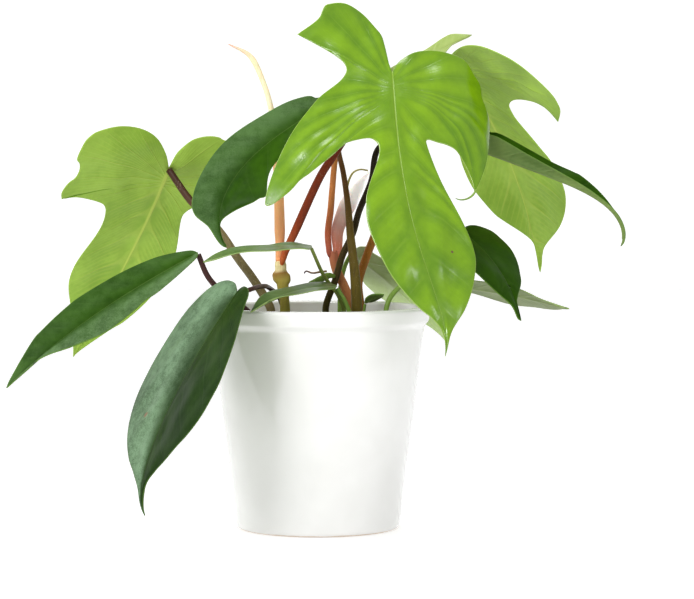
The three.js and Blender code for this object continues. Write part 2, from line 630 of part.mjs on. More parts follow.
petiole('petiole_left', BLACK_STALK, 'leaf_left', [
  [-36, -12, 117], [-43.5, -14, 124.5], [-52, -16, 130.5], [-59.5, -18, 139],
], [1.8, 1.8, 1.7, 1.6]);
petiole('petiole_front_left', BLACK_STALK, 'leaf_front_left', [
  [-19, 4, 119], [-21.5, 2, 127], [-26, -8, 132], [-30, -34, 134.5], [-36, -54, 133.5],
], [1.4, 1.4, 1.3, 1.3]);
petiole('petiole_sliver_left', GREEN_STALK, 'leaf_sliver_left', [
  [14.5, -13, 120], [11, -14, 129], [6.5, -15.5, 135], [3, -21, 140.5],
], [1.2, 1.2, 1.1, 1]);
petiole('petiole_sliver_front', GREEN_STALK, 'leaf_sliver_front', [
  [17.5, -28, 119], [14.5, -29, 127],
], [1.3, 1.3, 1.2]);
petiole('petiole_sliver_right', GREEN_STALK, 'leaf_sliver_right', [
  [42, 2, 114], [46, 6, 121], [52, 12, 127], [60, 17, 130],
], [2.7, 2.7, 2.5, 2]);
petiole('petiole_low_right', GREEN_STALK, 'leaf_low_right', [
  [37, -8, 117], [39.5, -6, 126.5], [51.5, -1, 138.5], [66, 3, 151],
], [1.5, 1.5, 1.4, 1.3]);
petiole('petiole_behind_right', GREEN_STALK, 'leaf_behind_right', [
  [12, 30, 120], [12.5, 31, 132], [15, 31.5, 143],
], [1.4, 1.4, 1.3]);
petiole('petiole_small', GREEN_STALK, 'leaf_small', [
  [25, -18.5, 117],
], [0.9, 0.8]);

add('bud', stemGeometry([
  [9, -3.4, 138.5], [6, -6, 139], [1, -9, 137], [-5, -10, 135.5],
], [1, 1.7, 1.5, 0.3], 8, 10), GREEN_STALK);
add('tendril', stemGeometry([
  [4.8, -5.5, 141.4], [1, -7, 141], [-3, -8, 140.5], [-6.5, -8, 141.5], [-7.5, -8, 140.3],
], [0.6, 0.6, 0.5, 0.4], 6, 10), BLACK_STALK);

add('pot', potGeometry(), WHITE_GLAZE);
add('soil', soilGeometry(holes), DARK_SOIL);

export default plant;
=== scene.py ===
"""Looks of a potted aroid house plant: lobed leaves on long petioles in a plain glazed pot.

Lengths are in millimetres, and become metres when a mesh is handed to Blender. The frame has +Z up, the
plant is seen along +Y, and the origin is the centre of the pot's underside.
"""

import logging
import math
import random
from dataclasses import dataclass, field, replace
from enum import Enum
from functools import partial
from typing import Callable, Sequence, Union

import bmesh
import bpy
import numpy as np
from mathutils import Matrix, Vector, noise


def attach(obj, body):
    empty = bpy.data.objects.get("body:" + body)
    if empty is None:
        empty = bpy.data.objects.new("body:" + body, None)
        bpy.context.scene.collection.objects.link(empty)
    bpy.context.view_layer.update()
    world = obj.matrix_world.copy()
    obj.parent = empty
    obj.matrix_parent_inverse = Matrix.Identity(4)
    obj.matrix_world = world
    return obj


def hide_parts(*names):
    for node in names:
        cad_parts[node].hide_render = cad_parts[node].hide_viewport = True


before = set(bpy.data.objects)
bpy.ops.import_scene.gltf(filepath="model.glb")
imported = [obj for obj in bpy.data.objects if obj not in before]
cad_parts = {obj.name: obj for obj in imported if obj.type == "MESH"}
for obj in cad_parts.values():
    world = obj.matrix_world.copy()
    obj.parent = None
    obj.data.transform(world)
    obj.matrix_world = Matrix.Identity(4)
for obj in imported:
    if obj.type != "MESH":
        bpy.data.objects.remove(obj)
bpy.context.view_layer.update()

LOG = logging.getLogger("plant")
METRE = 0.001
MM_PER_METRE = 1000.0
BODY = "root"
# Places nearer to each other than this are joined.
MERGE = 0.002
# A bent line is walked in this many steps, each with the slope at its middle.
BENDS = 14
BEND_STEPS = (np.arange(BENDS) + 0.5) / BENDS
# The turn of a hooked tip grows with this power of the way along the midrib.
HOOK_LATE = 8
# Over which distance from a lobe's start its spokes come to bow, and how far forward a spoke runs
# before it bows fully.
LOBE_SPAN = 16
LOBE_FORWARD = 20
# How far out and forward the corner of a bowed spoke lies.
BOW_OUT = 0.6
BOW_GAIN = 0.01
BOW_RISE = 0.1

# The pot, its lip and the soil in it, as in the solids.
POT_HEIGHT = 122.0
RIM_RADIUS = 62.0
FOOT_RADIUS = 45.0
WALL = 4.0
FLOOR = 5.0
LIP = 2.2
LIP_DEPTH = 9.0
SOIL_TOP = 110.0
SOIL_CROWN = 2.0
GAP = 0.3
HOLE_DEPTH = 12.0

# Thickness of a blade, what it loses at its edge as a share, and the width of the pale rim, which takes
# no more than this share of a spoke.
BLADE = 0.8
EDGE_LOSS = 0.45
RIM_WIDTH = 0.7
RIM_MOST = 0.2
# At this distance from the midrib a half's slope has changed by its curl.
CURL_REACH = 50.0
# How far a plain spoke bends rearward, against its length.
SPOKE_BEND = 0.05
# Height and half width of the midrib and the side ribs under a blade, and the groove above the midrib.
RIB = 0.9
RIB_WIDTH = 1.7
SIDE_RIB = 0.27
SIDE_RIB_WIDTH = 1.0
GROOVE = 0.25
# The ribs rise from the petiole over this distance.
RIB_START = 7.0
# Where along the midrib the spokes of the mesh start and end, and the least step between them, which
# is half as long on a leaf shorter than this.
SPINE_START = 4.0
SPINE_END = 0.97
SPINE_STEP = 0.08
SHORT_LEAF = 30.0
# How far apart the main side veins lie, and how many fine ones go with each.
VEIN_SPACING = 20.0
FINE_VEINS = 6.0
# The quilting starts at this share of the way to the edge, is full after a further share, and fades
# toward the petiole within this distance.
QUILT_START = 0.06
QUILT_RISE = 0.34
PLEATS_FULL = 75.0
# Creases along the veins and broad dents, as shares of the quilting's height, half the width of a crease,
# where the dents are full, and the directions and wavelengths of the waves that they are the mean of.
CREASE = 0.1
CREASE_WIDTH = 1.1
DENTS = 2.8
DENTS_FULL = 8.0
DENT_WAVES = ((0.3, 31.0), (1.2, 23.0), (2.2, 37.0), (2.8, 19.0))
# How many millimetres a unit of the Blade UV map stands for.
UV_SIZE = 100.0
# Scale and detail of the noises in a leaf's skin, above and below, and where the rim's colour sets in.
CLOUDS = (26.0, 2.0)
FLECKS = (240.0, 4.0)
GRAIN = (1500.0, 2.0)
UNDER_CLOUDS = (30.0, 2.0)
UNDER_FLECKS = (320.0, 4.0)
RIM_RANGE = (0.35, 0.75)

# How deep a stalk's foot reaches into the stem that it grows on, over which share of the stalk it
# narrows there, and by how much.
ROOTED_DEPTH = 4.0
ROOTED_SHARE = 0.045
ROOTED_LOSS = 1.1
# How far a petiole's end reaches into its leaf.
LEAF_HOLD = 0.15
# What a rolled growth's edge stands out, how far a keeled one bulges in two and in five places, and the
# depth and width of a grooved one's groove, all as shares.
OVERLAP = 0.12
KEEL = 0.20
KEEL_RIPPLE = 0.05
STALK_GROOVE = 0.14
STALK_GROOVE_WIDTH = 0.09
# Scale and detail of a stalk's streaks and patches, scale of its flecks, how much the streaks and the
# flecks are drawn out along it, and how far its colours wander.
STREAKS = (900.0, 3.0)
PATCHES = (110.0, 3.0)
FLECK_SCALE = 1300.0
STREAK_DRAWN = 0.16
FLECK_DRAWN = 0.45
WANDER = 0.06
# From this share of the way round a stalk on, a place is the one that the round started at.
SEAM = 0.9999
# Share of the left stem's length, width and height of each ring at its node.
NODE_RINGS = ((0.955, 0.012, 0.25), (0.90, 0.01, -0.2))
# Share of the length, angle, height and width of each leaf scar, and how far a scar reaches along it.
LEAF_SCARS = ((0.80, math.pi, 1.5, 0.7), (0.83, 0.0, 1.6, 0.8))
SCAR_REACH = 0.06

# Ranges of the crumbs' sizes, lengths and heights, how far they tilt, stand up and vary, and how
# often each kind comes.
CRUMB_SIZE = (0.5, 1.5)
CRUMB_LENGTH = (1.0, 2.4)
CRUMB_HEIGHT = (0.5, 0.9)
CRUMB_TILT = 0.4
CRUMB_LIFT = 0.2
CRUMB_ROUGH = 0.18
CRUMB_KINDS = (6, 3, 1)

# The studio, in metres and watts: each soft light's name, place, size and power, the place that they
# face, the light all round, and the floor's glow, half width, outline from front to back and rounding.
SOFTBOXES = (
    ("key", (-0.62, -1.20, 1.05), 0.50, 15.0),
    ("left", (-1.15, -0.10, 1.05), 0.80, 10.0),
    ("fill", (0.95, -1.15, 0.55), 0.50, 4.0),
    ("top", (0.10, 0.10, 1.50), 0.60, 7.0),
)
LIT_PLACE = (0.0, 0.0, 0.2)
SKY_LIGHT = 0.42
FLOOR_GLOW = 0.55
FLOOR_SIDE = 6.0
FLOOR_OUTLINE = ((-6.0, 0.0), (3.0, 0.0), (3.9, 0.1), (4.6, 0.5), (5.0, 1.2), (5.1, 6.0))
FLOOR_ROUNDING = 0.3

Color = tuple[float, float, float]
Point = tuple[float, float, float]
Operand = Union["Expr", float]


class Side(Enum):
    """The two halves of a blade, seen from above with its tip up."""

    RIGHT = 1
    LEFT = -1


class Section(Enum):
    """The cross-sections that a stalk may have."""

    ROUND = "round"
    ROLLED = "rolled"
    KEELED = "keeled"
    GROOVED = "grooved"


class Expr:
    """A number in a shader. Python's operators on it add Math nodes."""

    def __init__(self, graph: "Graph", socket: bpy.types.NodeSocket) -> None:
        """Wraps an output socket of a graph."""
        self.graph = graph
        self.socket = socket

    def __add__(self, other: Operand) -> "Expr":
        """Sum."""
        return self.graph.math("ADD", self, other)

    def __radd__(self, other: Operand) -> "Expr":
        """Sum with a number on the left."""
        return self.graph.math("ADD", other, self)

    def __sub__(self, other: Operand) -> "Expr":
        """Difference."""
        return self.graph.math("SUBTRACT", self, other)

    def __rsub__(self, other: Operand) -> "Expr":
        """Difference from a number on the left."""
        return self.graph.math("SUBTRACT", other, self)

    def __mul__(self, other: Operand) -> "Expr":
        """Product."""
        return self.graph.math("MULTIPLY", self, other)

    def __rmul__(self, other: Operand) -> "Expr":
        """Product with a number on the left."""
        return self.graph.math("MULTIPLY", other, self)

    def __truediv__(self, other: Operand) -> "Expr":
        """Quotient."""
        return self.graph.math("DIVIDE", self, other)

    def __rtruediv__(self, other: Operand) -> "Expr":
        """Quotient of a number on the left."""
        return self.graph.math("DIVIDE", other, self)

    def __abs__(self) -> "Expr":
        """Size without sign."""
        return self.graph.math("ABSOLUTE", self)

    def step(self, low: float, high: float, start: float = 0.0, end: float = 1.0) -> "Expr":
        """Eases from start to end while the value goes from low to high.

        Args:
            low: Value below which the result is start.
            high: Value above which the result is end.
            start: Result at the low end.
            end: Result at the high end.

        Returns:
            The eased value.
        """
        node = self.graph.node(
            "ShaderNodeMapRange",
            {"interpolation_type": "SMOOTHSTEP"},
            {"Value": self, "From Min": low, "From Max": high, "To Min": start, "To Max": end},
        )
        return Expr(self.graph, node.outputs[0])


class Graph:
    """The node tree of one material, with a Principled shader at its end."""

    def __init__(self, name: str) -> None:
        """Makes the material and its shader."""
        self.material = bpy.data.materials.new(name)
        self.material.use_nodes = True
        self.tree = self.material.node_tree
        self.tree.nodes.clear()
        self.shader = self.node("ShaderNodeBsdfPrincipled")
        self.node("ShaderNodeOutputMaterial", inputs={"Surface": self.shader.outputs[0]})

    def node(self, kind: str, settings: dict | None = None, inputs: dict | None = None) -> bpy.types.Node:
        """Adds a node.

        Args:
            kind: The node's type.
            settings: Values of its own properties. The key stops gives a ramp's stops.
            inputs: Values or links of its sockets, by name, identifier or number.

        Returns:
            The node.
        """
        made = self.tree.nodes.new(kind)
        for key, value in (settings or {}).items():
            if key == "stops":
                self._set_stops(made.color_ramp, value)
            else:
                setattr(made, key, value)
        for key, value in (inputs or {}).items():
            self.feed(self._socket(made, key), value)
        return made

    @staticmethod
    def _set_stops(ramp: bpy.types.ColorRamp, stops: Sequence[tuple[float, Color]]) -> None:
        """Gives a colour ramp its stops."""
        while len(ramp.elements) < len(stops):
            ramp.elements.new(1.0)
        for element, (place, color) in zip(ramp.elements, stops):
            element.position = place
            element.color = (*color, 1.0)

    @staticmethod
    def _socket(made: bpy.types.Node, key: Union[str, int]) -> bpy.types.NodeSocket:
        """Finds an input by its number, name or identifier."""
        if isinstance(key, int):
            return made.inputs[key]
        return next(s for s in made.inputs if key in (s.identifier, s.name))

    def feed(self, socket: bpy.types.NodeSocket, value: object) -> None:
        """Sets a socket to a value, or links it to an expression or an output."""
        if isinstance(value, Expr):
            self.tree.links.new(value.socket, socket)
        elif isinstance(value, bpy.types.NodeSocket):
            self.tree.links.new(value, socket)
        elif isinstance(value, tuple) and len(value) == 3 and socket.type == "RGBA":
            socket.default_value = (*value, 1.0)
        else:
            socket.default_value = value

    def math(self, operation: str, *values: Operand) -> Expr:
        """Adds a Math node."""
        node = self.node("ShaderNodeMath", {"operation": operation}, dict(enumerate(values)))
        return Expr(self, node.outputs[0])

    def distance(self, places: bpy.types.NodeSocket, point: Point) -> Expr:
        """Distance between places and a fixed point."""
        node = self.node("ShaderNodeVectorMath", {"operation": "DISTANCE"}, {0: places, 1: point})
        return Expr(self, node.outputs["Value"])

    def stretched(self, places: bpy.types.NodeSocket, scale: Point) -> bpy.types.NodeSocket:
        """Places multiplied by a scale for each axis."""
        node = self.node("ShaderNodeVectorMath", {"operation": "MULTIPLY"}, {0: places, 1: scale})
        return node.outputs["Vector"]

    def mixed(self, factor: Operand, first: object, second: object) -> bpy.types.NodeSocket:
        """A colour between two colours."""
        node = self.node(
            "ShaderNodeMix",
            {"data_type": "RGBA"},
            {"Factor_Float": factor, "A_Color": first, "B_Color": second},
        )
        return next(s for s in node.outputs if s.identifier == "Result_Color")

    def split(self, places: bpy.types.NodeSocket) -> tuple[Expr, Expr, Expr]:
        """The three parts of a vector."""
        node = self.node("ShaderNodeSeparateXYZ", inputs={0: places})
        return Expr(self, node.outputs[0]), Expr(self, node.outputs[1]), Expr(self, node.outputs[2])

    def uv(self, name: str) -> bpy.types.NodeSocket:
        """Places of a named UV map."""
        return self.node("ShaderNodeUVMap", {"uv_map": name}).outputs[0]

    def attribute(self, name: str) -> Expr:
        """A value stored on the piece's own vertices."""
        return Expr(self, self.node("ShaderNodeAttribute", {"attribute_name": name}).outputs["Fac"])

    def object_places(self) -> bpy.types.NodeSocket:
        """Object coordinates, in metres."""
        return self.node("ShaderNodeTexCoord").outputs["Object"]

    def noise(self, places: bpy.types.NodeSocket, scale: float, detail: float = 3.0) -> Expr:
        """A soft random value from 0 to 1 over places."""
        node = self.node(
            "ShaderNodeTexNoise", None, {"Vector": places, "Scale": scale, "Detail": detail}
        )
        return Expr(self, node.outputs["Fac"])

    def cells(self, places: bpy.types.NodeSocket, scale: float) -> Expr:
        """Distance to the nearest of scattered points."""
        node = self.node("ShaderNodeTexVoronoi", None, {"Vector": places, "Scale": scale})
        return Expr(self, node.outputs["Distance"])

    def finish(self, color: object, roughness: Operand, height: Expr | None = None, **fixed: float) -> None:
        """Feeds the shader.

        Args:
            color: Base colour.
            roughness: Roughness.
            height: Relief in millimetres for the normal.
            fixed: Other sockets of the shader, with underscores for spaces.
        """
        self.feed(self.shader.inputs["Base Color"], color)
        self.feed(self.shader.inputs["Roughness"], roughness)
        for name, value in fixed.items():
            self.feed(self.shader.inputs[name.replace("_", " ")], value)
        if height is not None:
            bump = self.node(
                "ShaderNodeBump", None, {"Strength": 1.0, "Distance": METRE, "Height": height}
            )
            self.feed(self.shader.inputs["Normal"], bump.outputs[0])


@dataclass(frozen=True)
class Spot:
    """A small dry mark on the upper side of a blade, at flat place (u, v)."""

    u: float
    v: float
    radius: float
    color: Color = (0.12, 0.05, 0.03)


@dataclass(frozen=True)
class LeafFinish:
    """The skin of a leaf: glossy above, duller and paler below, with pale veins on both sides."""

    slot: str
    dark: Color
    light: Color
    vein: Color
    margin: Color
    under_dark: Color
    under_light: Color
    under_vein: Color
    roughness: float = 0.32
    under_roughness: float = 0.5
    vein_show: float = 0.35
    fine_show: float = 0.12
    rib_show: float = 0.6
    rib_width: float = 0.9
    shine: float = 0.4
    bulge_show: float = 0.25
    # Colour of a painted sheen: a greyish reflection of light painted into the upper side's colour.
    painted_sheen_color: Color = (0.16, 0.24, 0.15)

    def upper(
        self, name: str, length: float, spots: Sequence[Spot], painted_sheen_shares: tuple[float, float]
    ) -> bpy.types.Material:
        """The material of the upper side.

        Args:
            name: Name of the leaf.
            length: Length of the leaf's midrib.
            spots: Dry marks on it.
            painted_sheen_shares: Shares of a painted greyish sheen, a reflection painted into the colour,
                on its right half and its left half.

        Returns:
            The material.
        """
        graph = Graph(f"{name}_upper")
        rib, main, fine, bulge = self._veins(graph, length, self.rib_width)
        places = graph.object_places()
        broad = graph.noise(places, *CLOUDS)
        small = graph.noise(places, *FLECKS)
        grain = graph.noise(places, *GRAIN)
        cloud = (broad * 0.75 + small * 0.35).step(0.34, 0.74)
        shade = cloud * (1.0 - self.bulge_show) + bulge * self.bulge_show
        color = graph.mixed(shade, self.dark, self.light)
        color = graph.mixed(fine * self.fine_show, color, self.vein)
        color = graph.mixed(main * self.vein_show, color, self.vein)
        side, _, _ = graph.split(graph.uv("Blade"))
        across, _, _ = graph.split(graph.uv("Veins"))
        cloudy = (broad * 0.6 + small * 0.5 + grain * 0.5).step(0.5, 1.0, 0.25, 1.0)
        outward = abs(across).step(0.0, 0.5, 0.15, 1.0)
        # Painted sheen: a greyish reflection painted into the colour. It is mottled, strongest toward the
        # edge, and takes its own share on each half.
        painted_sheen_mask = side.step(-0.01, 0.01, painted_sheen_shares[1], painted_sheen_shares[0]) * outward * cloudy
        color = graph.mixed(painted_sheen_mask, color, self.painted_sheen_color)
        color = graph.mixed(rib * self.rib_show, color, self.vein)
        color = graph.mixed(graph.attribute("rim").step(*RIM_RANGE) * 0.7, color, self.margin)
        flat = graph.stretched(graph.uv("Blade"), (UV_SIZE, UV_SIZE, 0.0))
        for spot in spots:
            reach = graph.distance(flat, (spot.u, spot.v, 0.0)) + small * spot.radius
            color = graph.mixed(reach.step(spot.radius, spot.radius * 1.7, 1.0, 0.0), color, spot.color)
        height = small * 0.10 + grain * 0.015 - rib * 0.2 - main * 0.02 - fine * 0.01
        roughness = small * 0.10 + (self.roughness - 0.05)
        graph.finish(color, roughness, height, Specular_IOR_Level=self.shine)
        return graph.material

    def under(self, name: str, length: float) -> bpy.types.Material:
        """The material of the underside.

        Args:
            name: Name of the leaf.
            length: Length of the leaf's midrib.

        Returns:
            The material.
        """
        graph = Graph(f"{name}_under")
        rib, main, fine, _ = self._veins(graph, length, self.rib_width * 1.9)
        places = graph.object_places()
        broad = graph.noise(places, *UNDER_CLOUDS)
        small = graph.noise(places, *UNDER_FLECKS)
        color = graph.mixed((broad * 0.8 + small * 0.3).step(0.34, 0.76), self.under_dark, self.under_light)
        color = graph.mixed(fine * (self.fine_show + 0.05), color, self.under_vein)
        color = graph.mixed(main * (self.vein_show + 0.05), color, self.under_vein)
        color = graph.mixed(rib * self.rib_show, color, self.under_vein)
        color = graph.mixed(graph.attribute("rim").step(*RIM_RANGE) * 0.5, color, self.margin)
        height = small * 0.06 + rib * 0.15 + main * 0.16 + fine * 0.06
        graph.finish(color, small * 0.1 + (self.under_roughness - 0.05), height, Specular_IOR_Level=0.25)
        return graph.material

    @staticmethod
    def _veins(graph: Graph, length: float, width: float) -> tuple[Expr, Expr, Expr, Expr]:
        """Masks of a blade's veins.

        Args:
            graph: The material's graph.
            length: Length of the midrib.
            width: Half the width of the midrib at its base.

        Returns:
            The masks of the midrib, the main side veins, the fine side veins and the bulges between
            the main ones.
        """
        u, v, _ = graph.split(graph.uv("Blade"))
        across, order, _ = graph.split(graph.uv("Veins"))
        out = abs(across)
        ahead = 1.0 - (v * UV_SIZE / length).step(-0.05, 1.0) * 0.8
        rib = (abs(u) * UV_SIZE / ahead).step(width * 0.4, width, 1.0, 0.0) * v.step(-0.02, 0.01)
        spread = out * VEIN_SPACING
        main = (graph.math("PINGPONG", order, 0.5) * spread).step(0.1, 0.55, 1.0, 0.0)
        main = main * out.step(0.75, 1.0, 1.0, 0.15)
        fine = graph.math("PINGPONG", order * FINE_VEINS, 0.5) * spread / FINE_VEINS
        fine = fine.step(0.05, 0.45, 1.0, 0.0)
        fine = fine * out.step(0.1, 0.3) * out.step(0.8, 1.0, 1.0, 0.3)
        bulge = graph.math("PINGPONG", order, 0.5).step(0.04, 0.42)
        bulge = bulge * out.step(0.05, 0.3) * out.step(0.8, 1.0, 1.0, 0.3)
        return rib, main, fine, bulge


@dataclass(frozen=True)
class StalkFinish:
    """The skin of a stalk: colours along its length, with fine streaks and pale flecks."""

    slot: str
    stops: tuple[tuple[float, Color], ...]
    streak: Color = (0.05, 0.02, 0.012)
    streak_show: float = 0.35
    fleck: Color = (0.6, 0.5, 0.3)
    fleck_show: float = 0.2
    roughness: float = 0.38
    through: float = 0.0
    # Strength of a painted glow: the skin emits its own colour, standing for light shining through it.
    glow: float = 0.0

    def material(self, name: str) -> bpy.types.Material:
        """The material of one stalk.

        Args:
            name: Name of the stalk.

        Returns:
            The material.
        """
        graph = Graph(f"{name}_skin")
        _, along, _ = graph.split(graph.uv("Along"))
        places = graph.object_places()
        streaks = graph.noise(graph.stretched(places, (1.0, 1.0, STREAK_DRAWN)), *STREAKS)
        patches = graph.noise(places, *PATCHES)
        flecks = graph.cells(graph.stretched(places, (1.0, 1.0, FLECK_DRAWN)), FLECK_SCALE)
        wander = along + (patches - 0.5) * WANDER
        ramp = graph.node("ShaderNodeValToRGB", {"stops": self.stops}, {"Fac": wander})
        color = ramp.outputs[0]
        shade = streaks.step(0.52, 0.72) * self.streak_show + patches.step(0.5, 0.75) * 0.12
        color = graph.mixed(shade, color, self.streak)
        fleck = flecks.step(0.1, 0.3, 1.0, 0.0) * patches.step(0.4, 0.6)
        color = graph.mixed(fleck * self.fleck_show, color, self.fleck)
        height = streaks * 0.08 + fleck * 0.04
        graph.finish(
            color, streaks * 0.2 + (self.roughness - 0.1), height,
            Specular_IOR_Level=0.15, Subsurface_Weight=self.through, Subsurface_Scale=0.002,
            Emission_Strength=self.glow,
        )
        # Painted glow: the skin's own colour is emitted, as if light shone through it.
        if self.glow:
            graph.feed(graph.shader.inputs["Emission Color"], color)
        return graph.material


@dataclass(frozen=True)
class GlazeFinish:
    """A plain glossy glaze, left off a bare clay ring where the pot stands."""

    color: Color = (0.86, 0.86, 0.845)
    shade: Color = (0.80, 0.80, 0.78)
    clay: Color = (0.62, 0.52, 0.42)

    def material(self) -> bpy.types.Material:
        """The material of the pot."""
        graph = Graph("white_glaze")
        places = graph.object_places()
        _, _, height = graph.split(places)
        cloud = graph.noise(places, 22.0, 3.0)
        ripple = graph.noise(places, 90.0, 2.0)
        pits = graph.cells(places, 420.0)
        color = graph.mixed(cloud.step(0.35, 0.7), self.color, self.shade)
        color = graph.mixed(pits.step(0.03, 0.07, 0.25, 0.0), color, self.clay)
        bare = (height * MM_PER_METRE + ripple).step(0.9, 1.5, 1.0, 0.0)
        color = graph.mixed(bare, color, self.clay)
        relief = ripple * 0.12 - pits.step(0.02, 0.08, 0.05, 0.0)
        graph.finish(color, bare * 0.5 + ripple * 0.08 + 0.12, relief, Coat_Weight=0.5, Coat_Roughness=0.08)
        return graph.material


@dataclass(frozen=True)
class EarthFinish:
    """Potting soil, its bark chips or its grit, told apart by their colours."""

    name: str
    dark: Color
    light: Color
    grain: float = 900.0
    roughness: float = 0.95

    def material(self) -> bpy.types.Material:
        """The material of the soil or of one kind of crumb in it."""
        graph = Graph(self.name)
        places = graph.object_places()
        clods = graph.noise(places, self.grain * 0.25, 4.0)
        grains = graph.noise(places, self.grain, 5.0)
        color = graph.mixed((clods * 0.5 + grains * 0.5).step(0.38, 0.66), self.dark, self.light)
        height = clods * 0.6 + grains * 0.35
        graph.finish(color, grains * 0.1 + (self.roughness - 0.08), height)
        return graph.material


def smooth_object(name: str, mesh_source: bmesh.types.BMesh, materials: Sequence) -> bpy.types.Object:
    """Turns a bmesh in millimetres into a smooth-shaded piece that rides on the plant's body.

    Args:
        name: Name of the piece.
        mesh_source: The bmesh, which is freed.
        materials: Its materials, in the order of its faces' material numbers.

    Returns:
        The new object.
    """
    bmesh.ops.scale(mesh_source, vec=(METRE,) * 3, verts=mesh_source.verts)
    for face in mesh_source.faces:
        face.smooth = True
    mesh = bpy.data.meshes.new(name)
    mesh_source.to_mesh(mesh)
    mesh_source.free()
    for item in materials:
        mesh.materials.append(item)
    made = bpy.data.objects.new(name, mesh)
    bpy.context.scene.collection.objects.link(made)
    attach(made, BODY)
    return made


def report(made: bpy.types.Object) -> None:
    """Logs a finished piece and how many faces it has."""
    LOG.info("%s: %d faces", made.name, len(made.data.polygons))


def turned_body(outline: Sequence[tuple[float, float, float]], steps: int) -> bmesh.types.BMesh:
    """Turns an outline round the Z axis.

    Args:
        outline: Radius, height and rounding of each corner, from the axis back to the axis.
        steps: How many steps the turn has.

    Returns:
        The body, whose normals aren't set yet.
    """
    body = bmesh.new()
    corners = [body.verts.new((radius, 0.0, height)) for radius, height, _ in outline]
    for pair in zip(corners, corners[1:]):
        body.edges.new(pair)
    for corner, (_, _, rounding) in zip(corners, outline):
        if rounding:
            bmesh.ops.bevel(
                body, geom=[corner], offset=rounding, segments=5, profile=0.5, affect="VERTICES",
                material=-1,
            )
    bmesh.ops.spin(
        body, geom=body.verts[:] + body.edges[:], cent=(0, 0, 0), axis=(0, 0, 1), angle=2 * math.pi,
        steps=steps, use_merge=True, use_duplicate=False,
    )
    bmesh.ops.remove_doubles(body, verts=body.verts[:], dist=MERGE)
    return body


def wall_radius(height: float) -> float:
    """Radius of the pot's outer wall at a height."""
    return FOOT_RADIUS + (RIM_RADIUS - LIP - FOOT_RADIUS) * height / POT_HEIGHT


def walked_lengths(places: np.ndarray) -> np.ndarray:
    """Distance walked along a line of places, from 0 at its first."""
    steps = np.linalg.norm(np.diff(places, axis=0), axis=1)
    return np.concatenate([[0.0], np.cumsum(steps)])


def spaced(places: np.ndarray, count: int) -> np.ndarray:
    """The line of places again, as count + 1 places that are evenly spaced along it."""
    walked = walked_lengths(places)
    wanted = np.linspace(0.0, walked[-1], count + 1)
    return np.stack([np.interp(wanted, walked, places[:, k]) for k in range(places.shape[1])], axis=1)


def cubic_run(
    start: np.ndarray, end: np.ndarray, leaving: np.ndarray, coming: np.ndarray, t: np.ndarray
) -> np.ndarray:
    """Places on a cubic curve between two points.

    Args:
        start: Where it starts.
        end: Where it ends.
        leaving: Its speed at the start.
        coming: Its speed at the end.
        t: Shares of the way.

    Returns:
        One row for each share.
    """
    return (
        (2 * start - 2 * end + leaving + coming) * t**3
        + (3 * end - 3 * start - 2 * leaving - coming) * t**2
        + leaving * t
        + start
    )


def edge_curve(points: Sequence[Sequence[float]], fineness: int = 24) -> np.ndarray:
    """A smooth flat line through points, as a uniform Catmull-Rom spline."""
    given = np.array([p[:2] for p in points], float)
    padded = np.vstack([given[:1], given, given[-1:]])
    t = np.linspace(0.0, 1.0, fineness, endpoint=False)[:, None]
    runs = [
        cubic_run(start, end, (end - before) / 2, (after - start) / 2, t)
        for before, start, end, after in zip(padded, padded[1:], padded[2:], padded[3:])
    ]
    return np.vstack([*runs, given[-1:]])


def stalk_curve(points: Sequence[Point], fineness: int = 24) -> np.ndarray:
    """A smooth line through points in space, as a centripetal Catmull-Rom spline."""
    given = np.array(points, float)
    padded = np.vstack([2 * given[0] - given[1], given, 2 * given[-1] - given[-2]])
    t = np.linspace(0.0, 1.0, fineness, endpoint=False)[:, None]
    runs = []
    for before, start, end, after in zip(padded, padded[1:], padded[2:], padded[3:]):
        d0, d1, d2 = (
            math.sqrt(np.linalg.norm(b - a)) for a, b in ((before, start), (start, end), (end, after))
        )
        leaving = ((start - before) / d0 - (end - before) / (d0 + d1) + (end - start) / d1) * d1
        coming = ((end - start) / d1 - (after - start) / (d1 + d2) + (after - end) / d2) * d1
        runs.append(cubic_run(start, end, leaving, coming, t))
    return np.vstack([*runs, given[-1:]])


@dataclass(frozen=True)
class Half:
    """How one half of a blade leans: its fold at the midrib, and how its slope changes outward."""

    fold: float = 4.0
    curl: float = -8.0
    power: float = 1.0
    rear_curl: float = 0.0


@dataclass(frozen=True)
class Edge:
    """One edge of a flat blade, resampled from the petiole to the tip."""

    places: np.ndarray
    order: np.ndarray

    @classmethod
    def through(cls, points: Sequence[Sequence[float]], length: float, count: int) -> "Edge":
        """Runs an edge through its points.

        Args:
            points: Flat places (u, v), with a third value at the tip of a lobe.
            length: Length of the midrib.
            count: How many steps the edge has.

        Returns:
            The edge. Its order counts main veins, and is a whole number at the tip of each lobe.
        """
        runs, run = [], [(0.0, 0.0)]
        for point in [*points, (0.0, length, 1)]:
            run.append(point[:2])
            if len(point) > 2:
                runs.append(edge_curve(run))
                run = [point[:2]]
        sizes = [walked_lengths(curve)[-1] for curve in runs]
        places, order, walked = [np.zeros((1, 2))], [np.zeros(1)], 0.0
        made = 0
        for curve, size in zip(runs, sizes):
            walked += size
            steps = round(count * walked / sum(sizes)) - made
            made += steps
            veins = max(1, round(size / VEIN_SPACING))
            places.append(spaced(curve, steps)[1:])
            order.append(order[-1][-1] + veins * np.arange(1, steps + 1) / steps)
        return cls(np.vstack(places), np.concatenate(order))


